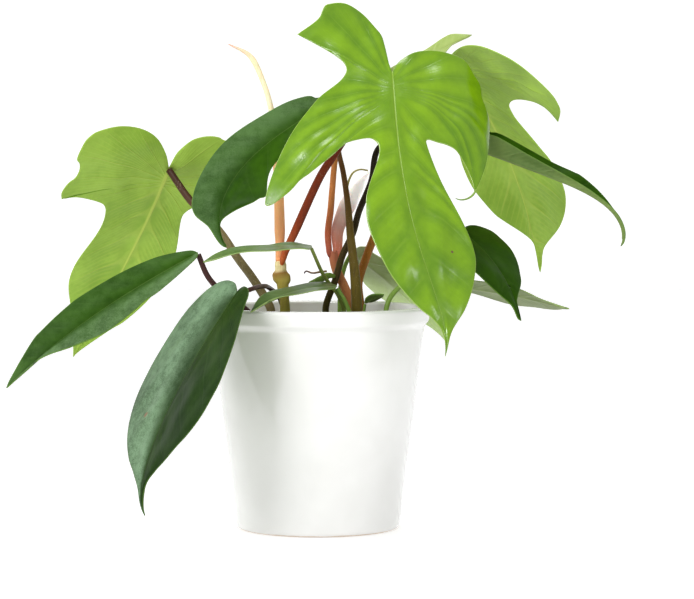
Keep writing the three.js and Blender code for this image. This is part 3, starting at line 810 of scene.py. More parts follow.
@dataclass
class Leaf:
    """A leaf blade, bent from a flat outline as its solid in the CAD model is, with finer relief."""

    name: str
    finish: LeafFinish
    at: Point
    yaw: float
    pitch: float
    length: float
    right_edge: list
    left_edge: list
    roll: float = 0.0
    droop: float = 0.0
    late: float = 1.0
    rear: float = 8.0
    rear_length: float = 30.0
    sweep: float = 0.0
    sweep_late: float = 1.0
    hook: float = 0.0
    twist: float = 0.0
    right: Half = field(default_factory=Half)
    left: Half = field(default_factory=Half)
    bow: tuple[float, float] = (0.0, 0.0)
    lobe_start: float = 22.0
    spokes: int = 110
    rings: int = 14
    quilt: float = 0.25
    wave: float = 0.5
    waves: float = 2.5
    # Shares of painted sheen, a greyish reflection painted into the colour, on the right half and the left
    # half.
    painted_sheen_shares: tuple[float, float] = (0.0, 0.0)
    spots: tuple[Spot, ...] = ()
    tears: tuple[Spot, ...] = ()

    def turned(self) -> Matrix:
        """The turn of the blade in space."""
        return (
            Matrix.Rotation(math.radians(self.yaw - 90), 3, "Z")
            @ Matrix.Rotation(math.radians(-self.pitch), 3, "X")
            @ Matrix.Rotation(math.radians(-self.roll), 3, "Y")
        )

    def place(self, u: np.ndarray, v: np.ndarray, h: np.ndarray) -> np.ndarray:
        """Places in space of flat places on the blade.

        Args:
            u: Distances from the midrib, positive on the right.
            v: Distances along the midrib from the petiole.
            h: Heights above the middle of the blade's thickness.

        Returns:
            One row of x, y and z for each place.
        """
        ahead = v >= 0
        span = np.where(ahead, self.length, self.rear_length)
        part = np.abs(v)[:, None] * BEND_STEPS / span[:, None]
        drop, turn, _ = self._angles(part, ahead[:, None])
        centre = v[:, None] * np.stack(
            [
                (np.sin(turn) * np.cos(drop)).mean(1),
                (np.cos(turn) * np.cos(drop)).mean(1),
                -np.sin(drop).mean(1),
            ],
            axis=1,
        )
        drop, turn, spin = self._angles(np.abs(v) / span, ahead)
        zero = np.zeros_like(turn)
        side = np.stack([np.cos(turn), -np.sin(turn), zero], axis=1)
        normal = np.stack([np.sin(turn) * np.sin(drop), np.cos(turn) * np.sin(drop), np.cos(drop)], axis=1)
        across = side * np.cos(spin)[:, None] + normal * np.sin(spin)[:, None]
        up = normal * np.cos(spin)[:, None] - side * np.sin(spin)[:, None]

        back = np.clip(-v / self.rear_length, 0.0, 1.0)
        reach = np.abs(u)
        sign = np.where(u >= 0, 1.0, -1.0)
        lean = self._lean(u >= 0, back[:, None], reach[:, None] * BEND_STEPS)
        creased = math.radians((self.right.fold - self.left.fold) / 2)
        tilt = self._lean(u >= 0, back[:, None], reach[:, None])[:, 0] * sign
        tilt = np.where(reach > 0, tilt, creased)
        x = sign * reach * np.cos(lean).mean(1) - h * np.sin(tilt)
        z = reach * np.sin(lean).mean(1) + h * np.cos(tilt)
        local = centre + across * x[:, None] + up * z[:, None]
        return local @ np.array(self.turned()).T + np.array(self.at)

    def _angles(self, part: np.ndarray, ahead: np.ndarray) -> tuple[np.ndarray, np.ndarray, np.ndarray]:
        """Droop, sidewards turn and twist at shares of the midrib's length, in radians."""
        drop = np.where(ahead, self.droop * part**self.late, self.rear * part)
        swept = self.sweep * part**self.sweep_late + self.hook * part**HOOK_LATE
        turn = np.where(ahead, swept, 0.0)
        spin = np.where(ahead, self.twist * part, 0.0)
        return np.radians(drop), np.radians(turn), np.radians(spin)

    def _lean(self, on_right: np.ndarray, back: np.ndarray, reach: np.ndarray) -> np.ndarray:
        """Slope of each half at distances from the midrib, in radians."""
        slopes = [
            half.fold + (half.curl + half.rear_curl * back) * (reach / CURL_REACH) ** half.power
            for half in (self.right, self.left)
        ]
        return np.radians(np.where(on_right[:, None], slopes[0], slopes[1]))

    def build(self) -> bpy.types.Object:
        """Builds the leaf, which stands for its CAD node."""
        edges = {
            Side.RIGHT: Edge.through(self.right_edge, self.length, self.spokes),
            Side.LEFT: Edge.through(self.left_edge, self.length, self.spokes),
        }
        flat = bmesh.new()
        bmesh.ops.create_grid(flat, x_segments=2 * self.rings, y_segments=self.spokes, size=1.0)
        share = flat.verts.layers.float.new("share")
        row = flat.verts.layers.float.new("row")
        rim = flat.verts.layers.float.new("rim")
        self._spread(flat, share, row, rim, edges)
        self._tear(flat)
        bmesh.ops.solidify(flat, geom=flat.faces[:], thickness=BLADE)
        middle = sum(vert.co.z for vert in flat.verts) / len(flat.verts)
        bmesh.ops.recalc_face_normals(flat, faces=flat.faces[:])
        self._map_skin(flat, share, row, edges)
        self._bend(flat, share, row, edges, middle)
        made = smooth_object(
            f"{self.name}_blade",
            flat,
            [
                self.finish.upper(self.name, self.length, self.spots, self.painted_sheen_shares),
                self.finish.under(self.name, self.length),
            ],
        )
        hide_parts(self.name)
        report(made)
        return made

    def _spine(self, edges: dict[Side, Edge]) -> np.ndarray:
        """Places along the midrib where the spokes to both edges start."""
        spine, reached = [], SPINE_START
        step = SPINE_STEP if self.length > SHORT_LEAF else SPINE_STEP / 2
        for (u, v), (other_u, other_v) in zip(edges[Side.RIGHT].places, edges[Side.LEFT].places):
            wanted = (v - u + other_v + other_u) / 2
            reached = max(reached, min(wanted, self.length * SPINE_END))
            spine.append(reached)
            reached += step
        return np.array(spine)

    def _spread(
        self,
        flat: bmesh.types.BMesh,
        share: object,
        row: object,
        rim: object,
        edges: dict[Side, Edge],
    ) -> None:
        """Spreads a square grid over the flat outline, and closes it along the seam at both ends.

        Args:
            flat: The grid.
            share: Layer for the share of the way from the midrib to the edge.
            row: Layer for the number of the spoke.
            rim: Layer that is 1 at the edge.
            edges: The outline.
        """
        spine = self._spine(edges)
        for vert in flat.verts:
            column = round((vert.co.x + 1) * self.rings) - self.rings
            line = round((vert.co.y + 1) / 2 * self.spokes)
            side = Side.RIGHT if column >= 0 else Side.LEFT
            edge = edges[side].places[line]
            along = edge - (0.0, spine[line])
            inner = 1 - min(RIM_MOST, RIM_WIDTH / np.linalg.norm(along))
            at_edge = abs(column) == self.rings
            out = 1.0 if at_edge else inner * abs(column) / (self.rings - 1)
            start = np.array([0.0, spine[line]])
            corner = self._corner(start, edge, side, math.sin(math.pi * line / self.spokes))
            u, v = start * (1 - out) ** 2 + corner * 2 * out * (1 - out) + edge * out**2
            vert.co = (u, v, 0.0)
            vert[share] = out
            vert[row] = line
            vert[rim] = float(at_edge)
        bmesh.ops.remove_doubles(flat, verts=flat.verts[:], dist=MERGE)

    def _corner(self, start: np.ndarray, edge: np.ndarray, side: Side, share: float) -> np.ndarray:
        """The corner that a spoke bends round on its way out, so that it keeps inside its lobe.

        Args:
            start: Where the spoke leaves the midrib.
            edge: Where it ends.
            side: The half of the blade.
            share: How much a plain spoke bends rearward.

        Returns:
            The control point of the spoke's curve.
        """
        run = edge - start
        plain = (start + edge) / 2 + np.array([run[1], -run[0]]) * side.value * SPOKE_BEND * share
        square = np.array([edge[0] * (BOW_OUT + BOW_GAIN * run[1]), start[1] + BOW_RISE * run[1]])
        in_lobe = min(1.0, max(0.0, (abs(edge[0]) - self.lobe_start) / LOBE_SPAN))
        forward = min(1.0, max(0.0, run[1] / LOBE_FORWARD))
        bowed = self.bow[0 if side is Side.RIGHT else 1] * in_lobe * forward
        return plain * (1 - bowed) + square * bowed

    def _tear(self, flat: bmesh.types.BMesh) -> None:
        """Takes small holes out of the flat blade."""
        torn = [
            face
            for face in flat.faces
            for tear in self.tears
            if math.hypot(face.calc_center_median().x - tear.u, face.calc_center_median().y - tear.v)
            < tear.radius
        ]
        if torn:
            bmesh.ops.delete(flat, geom=torn, context="FACES")

    def _map_skin(
        self, flat: bmesh.types.BMesh, share: object, row: object, edges: dict[Side, Edge]
    ) -> None:
        """Gives each face its side's material, its flat place, and its place among the veins."""
        blade = flat.loops.layers.uv.new("Blade")
        veins = flat.loops.layers.uv.new("Veins")
        for face in flat.faces:
            side = Side.RIGHT if face.calc_center_median().x >= 0 else Side.LEFT
            face.material_index = 1 if face.normal.z < -0.5 else 0
            order = edges[side].order
            for loop in face.loops:
                vert = loop.vert
                loop[blade].uv = (vert.co.x / UV_SIZE, vert.co.y / UV_SIZE)
                loop[veins].uv = (vert[share] * side.value, order[round(vert[row])])

    def _bend(
        self,
        flat: bmesh.types.BMesh,
        share: object,
        row: object,
        edges: dict[Side, Edge],
        middle: float,
    ) -> None:
        """Bends the flat shell, with its ribs below and its soft quilting between the veins."""
        co = np.array([vert.co for vert in flat.verts])
        out = np.array([vert[share] for vert in flat.verts])
        line = np.array([round(vert[row]) for vert in flat.verts])
        u, v, top = co[:, 0], co[:, 1], co[:, 2] > middle
        order = np.where(u >= 0, edges[Side.RIGHT].order[line], edges[Side.LEFT].order[line])
        from_vein = np.abs(order - np.round(order))
        in_mm = from_vein * VEIN_SPACING * out
        inside = np.clip((out - QUILT_START) / QUILT_RISE, 0, 1) ** 2 * (1 - np.clip(out, 0, 1) ** 3)
        swell = np.sin(np.pi * from_vein) ** 2 * inside
        crease = np.exp(-((in_mm / CREASE_WIDTH) ** 2)) * inside
        rolling = np.sin(2 * np.pi * self.waves * line / self.spokes + self.yaw) * out**2 * (1 - out * 0.3)
        dents = sum(
            np.sin(2 * np.pi * (u * math.cos(turn) + v * math.sin(turn)) / wavelength + self.at[0] + turn)
            for turn, wavelength in DENT_WAVES
        )
        dents = dents / len(DENT_WAVES) * np.clip(np.abs(u) / DENTS_FULL, 0, 1) * (1 - out**4)
        away = np.clip(np.hypot(u, v) / PLEATS_FULL, 0, 1) ** 2
        lift = self.quilt * (away * (swell - CREASE * crease) + DENTS * dents) + self.wave * rolling
        rise = np.clip(v / RIB_START, 0, 1) * np.sqrt(np.clip(1 - v / self.length, 0, 1))
        midrib = np.exp(-((u / RIB_WIDTH) ** 2)) * rise
        side_rib = np.exp(-((in_mm / SIDE_RIB_WIDTH) ** 2)) * (1 - out**2) * np.clip(v / RIB_START, 0, 1)
        thin = 1 - EDGE_LOSS * out**8
        above = BLADE / 2 * thin - GROOVE * midrib
        below = -BLADE / 2 * thin - RIB * midrib - SIDE_RIB * side_rib * (1 - midrib)
        bent = self.place(u, v, np.where(top, above, below) + lift)
        for vert, place in zip(flat.verts, bent):
            vert.co = place


@dataclass
class Stalk:
    """A stem, petiole or other round growth, swept along the same line as its solid in the CAD model."""

    name: str
    finish: StalkFinish
    points: list
    radii: list
    section: Section = Section.ROUND
    sides: int = 20
    steps: int = 72
    swelling: Callable[[np.ndarray, np.ndarray], np.ndarray] | None = None
    stands: bool = True

    def build(self) -> bpy.types.Object:
        """Builds the stalk, which stands for its CAD node, if it has one."""
        line = spaced(stalk_curve(self.points), self.steps)
        normals, binormals = self._frames(line)
        tube = bmesh.new()
        bmesh.ops.create_grid(tube, x_segments=self.sides, y_segments=self.steps, size=1.0)
        skin = tube.loops.layers.uv.new("Along")
        for face in tube.faces:
            for loop in face.loops:
                x, y, _ = loop.vert.co
                loop[skin].uv = ((x + 1) / 2, (y + 1) / 2)
        co = np.array([vert.co for vert in tube.verts])
        around = (co[:, 0] + 1) / 2
        row = np.round((co[:, 1] + 1) / 2 * self.steps).astype(int)
        along = row / self.steps
        angle = 2 * np.pi * np.where(around > SEAM, 0.0, around)
        radius = np.interp(along, np.linspace(0, 1, len(self.radii)), self.radii)
        radius = radius * self._shape(around, along)
        if self.swelling:
            radius = radius + self.swelling(angle, along)
        places = (
            line[row]
            + normals[row] * (radius * np.cos(angle))[:, None]
            + binormals[row] * (radius * np.sin(angle))[:, None]
        )
        for vert, place in zip(tube.verts, places):
            vert.co = place
        bmesh.ops.remove_doubles(tube, verts=tube.verts[:], dist=MERGE)
        rims = [edge for edge in tube.edges if edge.is_boundary]
        bmesh.ops.holes_fill(tube, edges=rims, sides=0)
        bmesh.ops.recalc_face_normals(tube, faces=tube.faces[:])
        made = smooth_object(f"{self.name}_grown", tube, [self.finish.material(self.name)])
        if self.stands:
            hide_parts(self.name)
        report(made)
        return made

    def _shape(self, around: np.ndarray, along: np.ndarray) -> np.ndarray:
        """How the radius changes round the stalk, as a factor."""
        angle = 2 * np.pi * around
        if self.section is Section.ROLLED:
            overlap = np.where(around > SEAM, 0.0, around)
            return 0.93 + OVERLAP * overlap**2
        if self.section is Section.KEELED:
            middle = np.sin(np.pi * along)
            return 1 + middle * (KEEL * np.cos(2 * angle) + KEEL_RIPPLE * np.cos(5 * angle))
        if self.section is Section.GROOVED:
            return 1 - STALK_GROOVE * np.exp(-((np.abs(around - 0.5) / STALK_GROOVE_WIDTH) ** 2))
        return np.ones_like(around)

    @staticmethod
    def _frames(line: np.ndarray) -> tuple[np.ndarray, np.ndarray]:
        """Two directions across the line at each of its places, which turn as little as they can."""
        tangents = np.gradient(line, axis=0)
        tangents /= np.linalg.norm(tangents, axis=1)[:, None]
        normal = np.cross(tangents[0], (0.0, 1.0, 0.0))
        normals, binormals = [], []
        for tangent in tangents:
            normal = normal - tangent * (normal @ tangent)
            normal = normal / np.linalg.norm(normal)
            normals.append(normal)
            binormals.append(np.cross(tangent, normal))
        return np.array(normals), np.array(binormals)


@dataclass
class Pot:
    """A plain round pot with a lip, glazed inside and out."""

    steps: int = 144

    def build(self) -> bpy.types.Object:
        """Builds the pot, which stands for its CAD node."""
        lip_foot = POT_HEIGHT - LIP_DEPTH
        inner_rim = RIM_RADIUS - LIP - WALL
        outline = [
            (0.0, 0.6, 0.0),
            (FOOT_RADIUS - 7, 0.6, 0.6),
            (FOOT_RADIUS - 5.5, 0.0, 0.6),
            (FOOT_RADIUS - 1, 0.0, 0.8),
            (FOOT_RADIUS, 1.6, 0.8),
            (wall_radius(lip_foot - 2), lip_foot - 2, 1.2),
            (wall_radius(lip_foot) + LIP, lip_foot + 1, 0.9),
            (RIM_RADIUS, POT_HEIGHT, 1.9),
            (inner_rim, POT_HEIGHT, 1.5),
            (wall_radius(FLOOR) - WALL, FLOOR, 3.0),
            (0.0, FLOOR, 0.0),
        ]
        pot = turned_body(outline, self.steps)
        bmesh.ops.recalc_face_normals(pot, faces=pot.faces[:])
        made = smooth_object("pot_glazed", pot, [GlazeFinish().material()])
        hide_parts("pot")
        report(made)
        return made


@dataclass
class Soil:
    """Potting soil that fills the pot, with bark chips and grit on it."""

    seed: int = 7
    crumbs: int = 420
    rings: int = 34
    steps: int = 120

    def inner_radius(self, height: float) -> float:
        """Radius of the soil where it meets the wall at a height."""
        return wall_radius(height) - WALL - GAP

    def surface(self, x: float, y: float) -> float:
        """Height of the soil's rough surface."""
        radius = math.hypot(x, y)
        edge = self.inner_radius(SOIL_TOP) - 1
        dome = SOIL_CROWN * (1 - min(1.0, radius / edge) ** 2)
        fade = min(1.0, (edge - radius) / 4)
        rough = noise.noise(Vector((x, y, 0.0)) / 7) * 1.0 + noise.noise(Vector((x, y, 3.0)) / 2.6) * 0.8
        return SOIL_TOP + dome + max(0.0, fade) * rough

    def build(self) -> None:
        """Builds the soil and what lies on it."""
        edge = self.inner_radius(SOIL_TOP) - 1
        outline = [
            (0.0, FLOOR + GAP, 0.0),
            (self.inner_radius(FLOOR) - 4, FLOOR + GAP, 0.0),
            (self.inner_radius(FLOOR + 4) - 0.5, FLOOR + 4, 0.0),
            (edge, SOIL_TOP - 1, 0.0),
        ]
        outline += [(edge * k / self.rings, SOIL_TOP, 0.0) for k in range(self.rings - 1, -1, -1)]
        earth = turned_body(outline, self.steps)
        for vert in earth.verts:
            if vert.co.z > SOIL_TOP - 0.5:
                vert.co.z = self.surface(vert.co.x, vert.co.y)
        bmesh.ops.recalc_face_normals(earth, faces=earth.faces[:])
        finish = EarthFinish("soil_dark", (0.016, 0.009, 0.006), (0.075, 0.045, 0.026))
        made = smooth_object("soil_bed", earth, [finish.material()])
        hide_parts("soil")
        report(made)
        self._scatter()

    def _scatter(self) -> None:
        """Scatters bark chips and grit over the soil."""
        rng = random.Random(self.seed)
        chips = bmesh.new()
        edge = self.inner_radius(SOIL_TOP) - 4
        for _ in range(self.crumbs):
            radius, angle = edge * math.sqrt(rng.random()), rng.uniform(0, 2 * math.pi)
            x, y = radius * math.cos(angle), radius * math.sin(angle)
            size = rng.uniform(*CRUMB_SIZE)
            length = size * rng.uniform(*CRUMB_LENGTH)
            stretch = Matrix.Diagonal((length, size, size * rng.uniform(*CRUMB_HEIGHT), 1.0))
            turn = Matrix.Rotation(rng.uniform(0, math.pi), 4, "Z")
            turn = turn @ Matrix.Rotation(rng.uniform(-CRUMB_TILT, CRUMB_TILT), 4, "X")
            spot = Matrix.Translation((x, y, self.surface(x, y) + size * CRUMB_LIFT))
            placed = spot @ turn @ stretch
            made = bmesh.ops.create_icosphere(chips, subdivisions=1, radius=1.0, matrix=placed)
            kind = rng.choices((0, 1, 2), CRUMB_KINDS)[0]
            for vert in made["verts"]:
                vert.co += Vector(rng.uniform(-CRUMB_ROUGH, CRUMB_ROUGH) for _ in range(3)) * size
                for face in vert.link_faces:
                    face.material_index = kind
        finishes = [
            EarthFinish("crumb_dark", (0.02, 0.011, 0.007), (0.07, 0.04, 0.024)),
            EarthFinish("crumb_bark", (0.07, 0.035, 0.018), (0.2, 0.11, 0.06)),
            EarthFinish("crumb_grit", (0.5, 0.48, 0.43), (0.75, 0.73, 0.68), 500.0, 0.85),
        ]
        made = smooth_object("soil_crumbs", chips, [finish.material() for finish in finishes])
        report(made)


FRESH = LeafFinish(
    "leaf_fresh",
    dark=(0.085, 0.2, 0.0), light=(0.175, 0.335, 0.0), vein=(0.3, 0.45, 0.05), margin=(0.36, 0.5, 0.1),
    under_dark=(0.13, 0.25, 0.03), under_light=(0.2, 0.34, 0.05), under_vein=(0.4, 0.52, 0.16),
    roughness=0.22, vein_show=0.06, fine_show=0.03, rib_show=0.45, rib_width=0.6, shine=0.75,
    bulge_show=0.5,
)
PALE = LeafFinish(
    "leaf_pale",
    dark=(0.12, 0.30, 0.004), light=(0.2, 0.42, 0.008), vein=(0.42, 0.6, 0.1), margin=(0.35, 0.5, 0.08),
    under_dark=(0.22, 0.38, 0.035), under_light=(0.33, 0.52, 0.065), under_vein=(0.5, 0.6, 0.1),
    vein_show=0.2, fine_show=0.12, rib_width=0.8,
)
YOUNG = LeafFinish(
    "leaf_new",
    dark=(0.22, 0.32, 0.06), light=(0.33, 0.42, 0.12), vein=(0.5, 0.58, 0.25), margin=(0.5, 0.58, 0.25),
    under_dark=(0.28, 0.36, 0.09), under_light=(0.38, 0.46, 0.17), under_vein=(0.5, 0.58, 0.25),
    vein_show=0.2, fine_show=0.1, rib_width=0.5,
)
DARK = LeafFinish(
    "leaf_dark",
    dark=(0.011, 0.040, 0.001), light=(0.028, 0.084, 0.002), vein=(0.08, 0.15, 0.03),
    margin=(0.14, 0.27, 0.04),
    under_dark=(0.08, 0.14, 0.03), under_light=(0.14, 0.21, 0.05), under_vein=(0.24, 0.32, 0.1),
    roughness=0.34, vein_show=0.05, fine_show=0.02, rib_show=0.4, rib_width=0.5, shine=0.04,
    # Colour of the painted sheen, a greyish reflection painted into the upper side.
    painted_sheen_color=(0.18, 0.29, 0.14),
)
DEEP = replace(
    DARK, dark=(0.005, 0.018, 0.001), light=(0.014, 0.038, 0.002), margin=(0.08, 0.15, 0.03), shine=0.02,
    # Colour of the painted sheen, a greyish reflection painted into the upper side.
    painted_sheen_color=(0.19, 0.3, 0.18),
)
GREY = LeafFinish(
    "leaf_grey",
    dark=(0.05, 0.11, 0.02), light=(0.1, 0.17, 0.04), vein=(0.2, 0.3, 0.08), margin=(0.3, 0.42, 0.12),
    under_dark=(0.12, 0.17, 0.055), under_light=(0.2, 0.25, 0.1), under_vein=(0.28, 0.36, 0.14),
    roughness=0.42, vein_show=0.15, fine_show=0.05, rib_show=0.4,
)
# Painted light: GREY with far paler colours, so that a leaf lying in shade behind the front leaf looks lit.
LIT = replace(
    GREY, dark=(0.36, 0.5, 0.17), light=(0.52, 0.66, 0.28), vein=(0.6, 0.7, 0.4), margin=(0.6, 0.7, 0.4),
    under_dark=(0.36, 0.5, 0.17), under_light=(0.54, 0.68, 0.3), under_vein=(0.6, 0.7, 0.4),
)

RED = StalkFinish(
    "stalk_red",
    (
        (0.0, (0.58, 0.14, 0.04)), (0.08, (0.42, 0.08, 0.02)), (0.22, (0.2, 0.028, 0.006)),
        (1.0, (0.12, 0.016, 0.004)),
    ),
)
REDBROWN = StalkFinish(
    "stalk_red",
    (
        (0.0, (0.36, 0.14, 0.02)), (0.3, (0.33, 0.12, 0.015)), (0.6, (0.2, 0.09, 0.012)),
        (1.0, (0.13, 0.05, 0.01)),
    ),
    streak=(0.09, 0.06, 0.006), streak_show=0.5,
)
ORANGE = StalkFinish(
    "stalk_orange",
    (
        (0.0, (0.55, 0.13, 0.09)), (0.15, (0.62, 0.15, 0.07)), (0.35, (0.55, 0.2, 0.06)),
        (1.0, (0.42, 0.17, 0.04)),
    ),
    streak=(0.35, 0.08, 0.03), streak_show=0.3,
)
STEM_ORANGE = StalkFinish(
    "stalk_orange",
    (
        (0.0, (0.4, 0.2, 0.06)), (0.35, (0.55, 0.22, 0.08)), (0.8, (0.6, 0.22, 0.09)),
        (1.0, (0.62, 0.2, 0.12)),
    ),
    streak=(0.3, 0.1, 0.03), streak_show=0.3,
)
ROLLED = StalkFinish(
    "stalk_orange",
    (
        (0.0, (0.8, 0.36, 0.16)), (0.3, (0.84, 0.45, 0.19)), (0.5, (0.84, 0.56, 0.27)),
        (0.68, (0.82, 0.74, 0.5)), (0.88, (0.76, 0.67, 0.42)), (1.0, (0.68, 0.42, 0.34)),
    ),
    # Painted glow: a faint emission of its own colour brightens the rolled leaf.
    streak=(0.5, 0.22, 0.09), streak_show=0.2, fleck_show=0.1, roughness=0.42, through=0.25, glow=0.08,
)
OLIVE_STEM = StalkFinish(
    "stalk_olive",
    (
        (0.0, (0.16, 0.15, 0.02)), (0.45, (0.34, 0.31, 0.05)), (0.78, (0.44, 0.35, 0.07)),
        (0.87, (0.3, 0.16, 0.04)), (0.91, (0.8, 0.68, 0.36)), (1.0, (0.84, 0.7, 0.36)),
    ),
    streak=(0.2, 0.1, 0.03), streak_show=0.45,
)
OLIVE = StalkFinish(
    "stalk_olive",
    (
        (0.0, (0.16, 0.13, 0.02)), (0.45, (0.14, 0.09, 0.017)), (0.7, (0.14, 0.06, 0.018)),
        (1.0, (0.10, 0.04, 0.016)),
    ),
    streak=(0.03, 0.02, 0.01),
)
SPECKLED = StalkFinish(
    "stalk_olive",
    (
        (0.0, (0.16, 0.13, 0.05)), (0.55, (0.2, 0.16, 0.07)), (0.8, (0.09, 0.04, 0.022)),
        (1.0, (0.05, 0.02, 0.014)),
    ),
    streak=(0.05, 0.035, 0.015), streak_show=0.5, fleck_show=0.55,
)
BLACK = StalkFinish(
    "stalk_dark",
    (
        (0.0, (0.08, 0.066, 0.01)), (0.35, (0.07, 0.045, 0.009)), (0.6, (0.024, 0.014, 0.007)),
        (1.0, (0.012, 0.008, 0.005)),
    ),
    streak=(0.01, 0.008, 0.006), fleck_show=0.1,
)
PURPLE = StalkFinish(
    "stalk_dark",
    ((0.0, (0.07, 0.035, 0.028)), (0.5, (0.06, 0.022, 0.02)), (1.0, (0.05, 0.018, 0.016))),
    streak=(0.02, 0.01, 0.01), fleck_show=0.15,
)
GREEN = StalkFinish(
    "stalk_green",
    ((0.0, (0.2, 0.32, 0.05)), (1.0, (0.16, 0.27, 0.05))),
    streak=(0.07, 0.14, 0.02),
)
DULL_GREEN = StalkFinish(
    "stalk_green",
    ((0.0, (0.22, 0.27, 0.05)), (1.0, (0.24, 0.3, 0.07))),
    streak=(0.09, 0.12, 0.03),
)
YELLOW_THREAD = StalkFinish(
    "stalk_green",
    ((0.0, (0.5, 0.4, 0.1)), (1.0, (0.6, 0.52, 0.24))),
    streak=(0.35, 0.25, 0.08), streak_show=0.2,
)
PAPERY = StalkFinish(
    "sheath_pink",
    (
        (0.0, (0.46, 0.1, 0.04)), (0.15, (0.46, 0.16, 0.1)), (0.35, (0.4, 0.22, 0.18)),
        # The papery top is pale of itself and is made paler still: painted light for light shining through
        # the sheath.
        (0.52, (0.52, 0.38, 0.34)), (0.68, (0.9, 0.86, 0.85)), (1.0, (0.95, 0.94, 0.93)),
    ),
    streak=(0.7, 0.34, 0.32), streak_show=0.25, fleck=(0.85, 0.82, 0.8), roughness=0.5, through=0.3,
    # Painted glow: an emission stands for light shining through the papery sheath.
    glow=0.36,
)
DRY = StalkFinish(
    "tendril_brown",
    ((0.0, (0.3, 0.2, 0.1)), (0.7, (0.28, 0.16, 0.1)), (1.0, (0.05, 0.03, 0.06))),
)


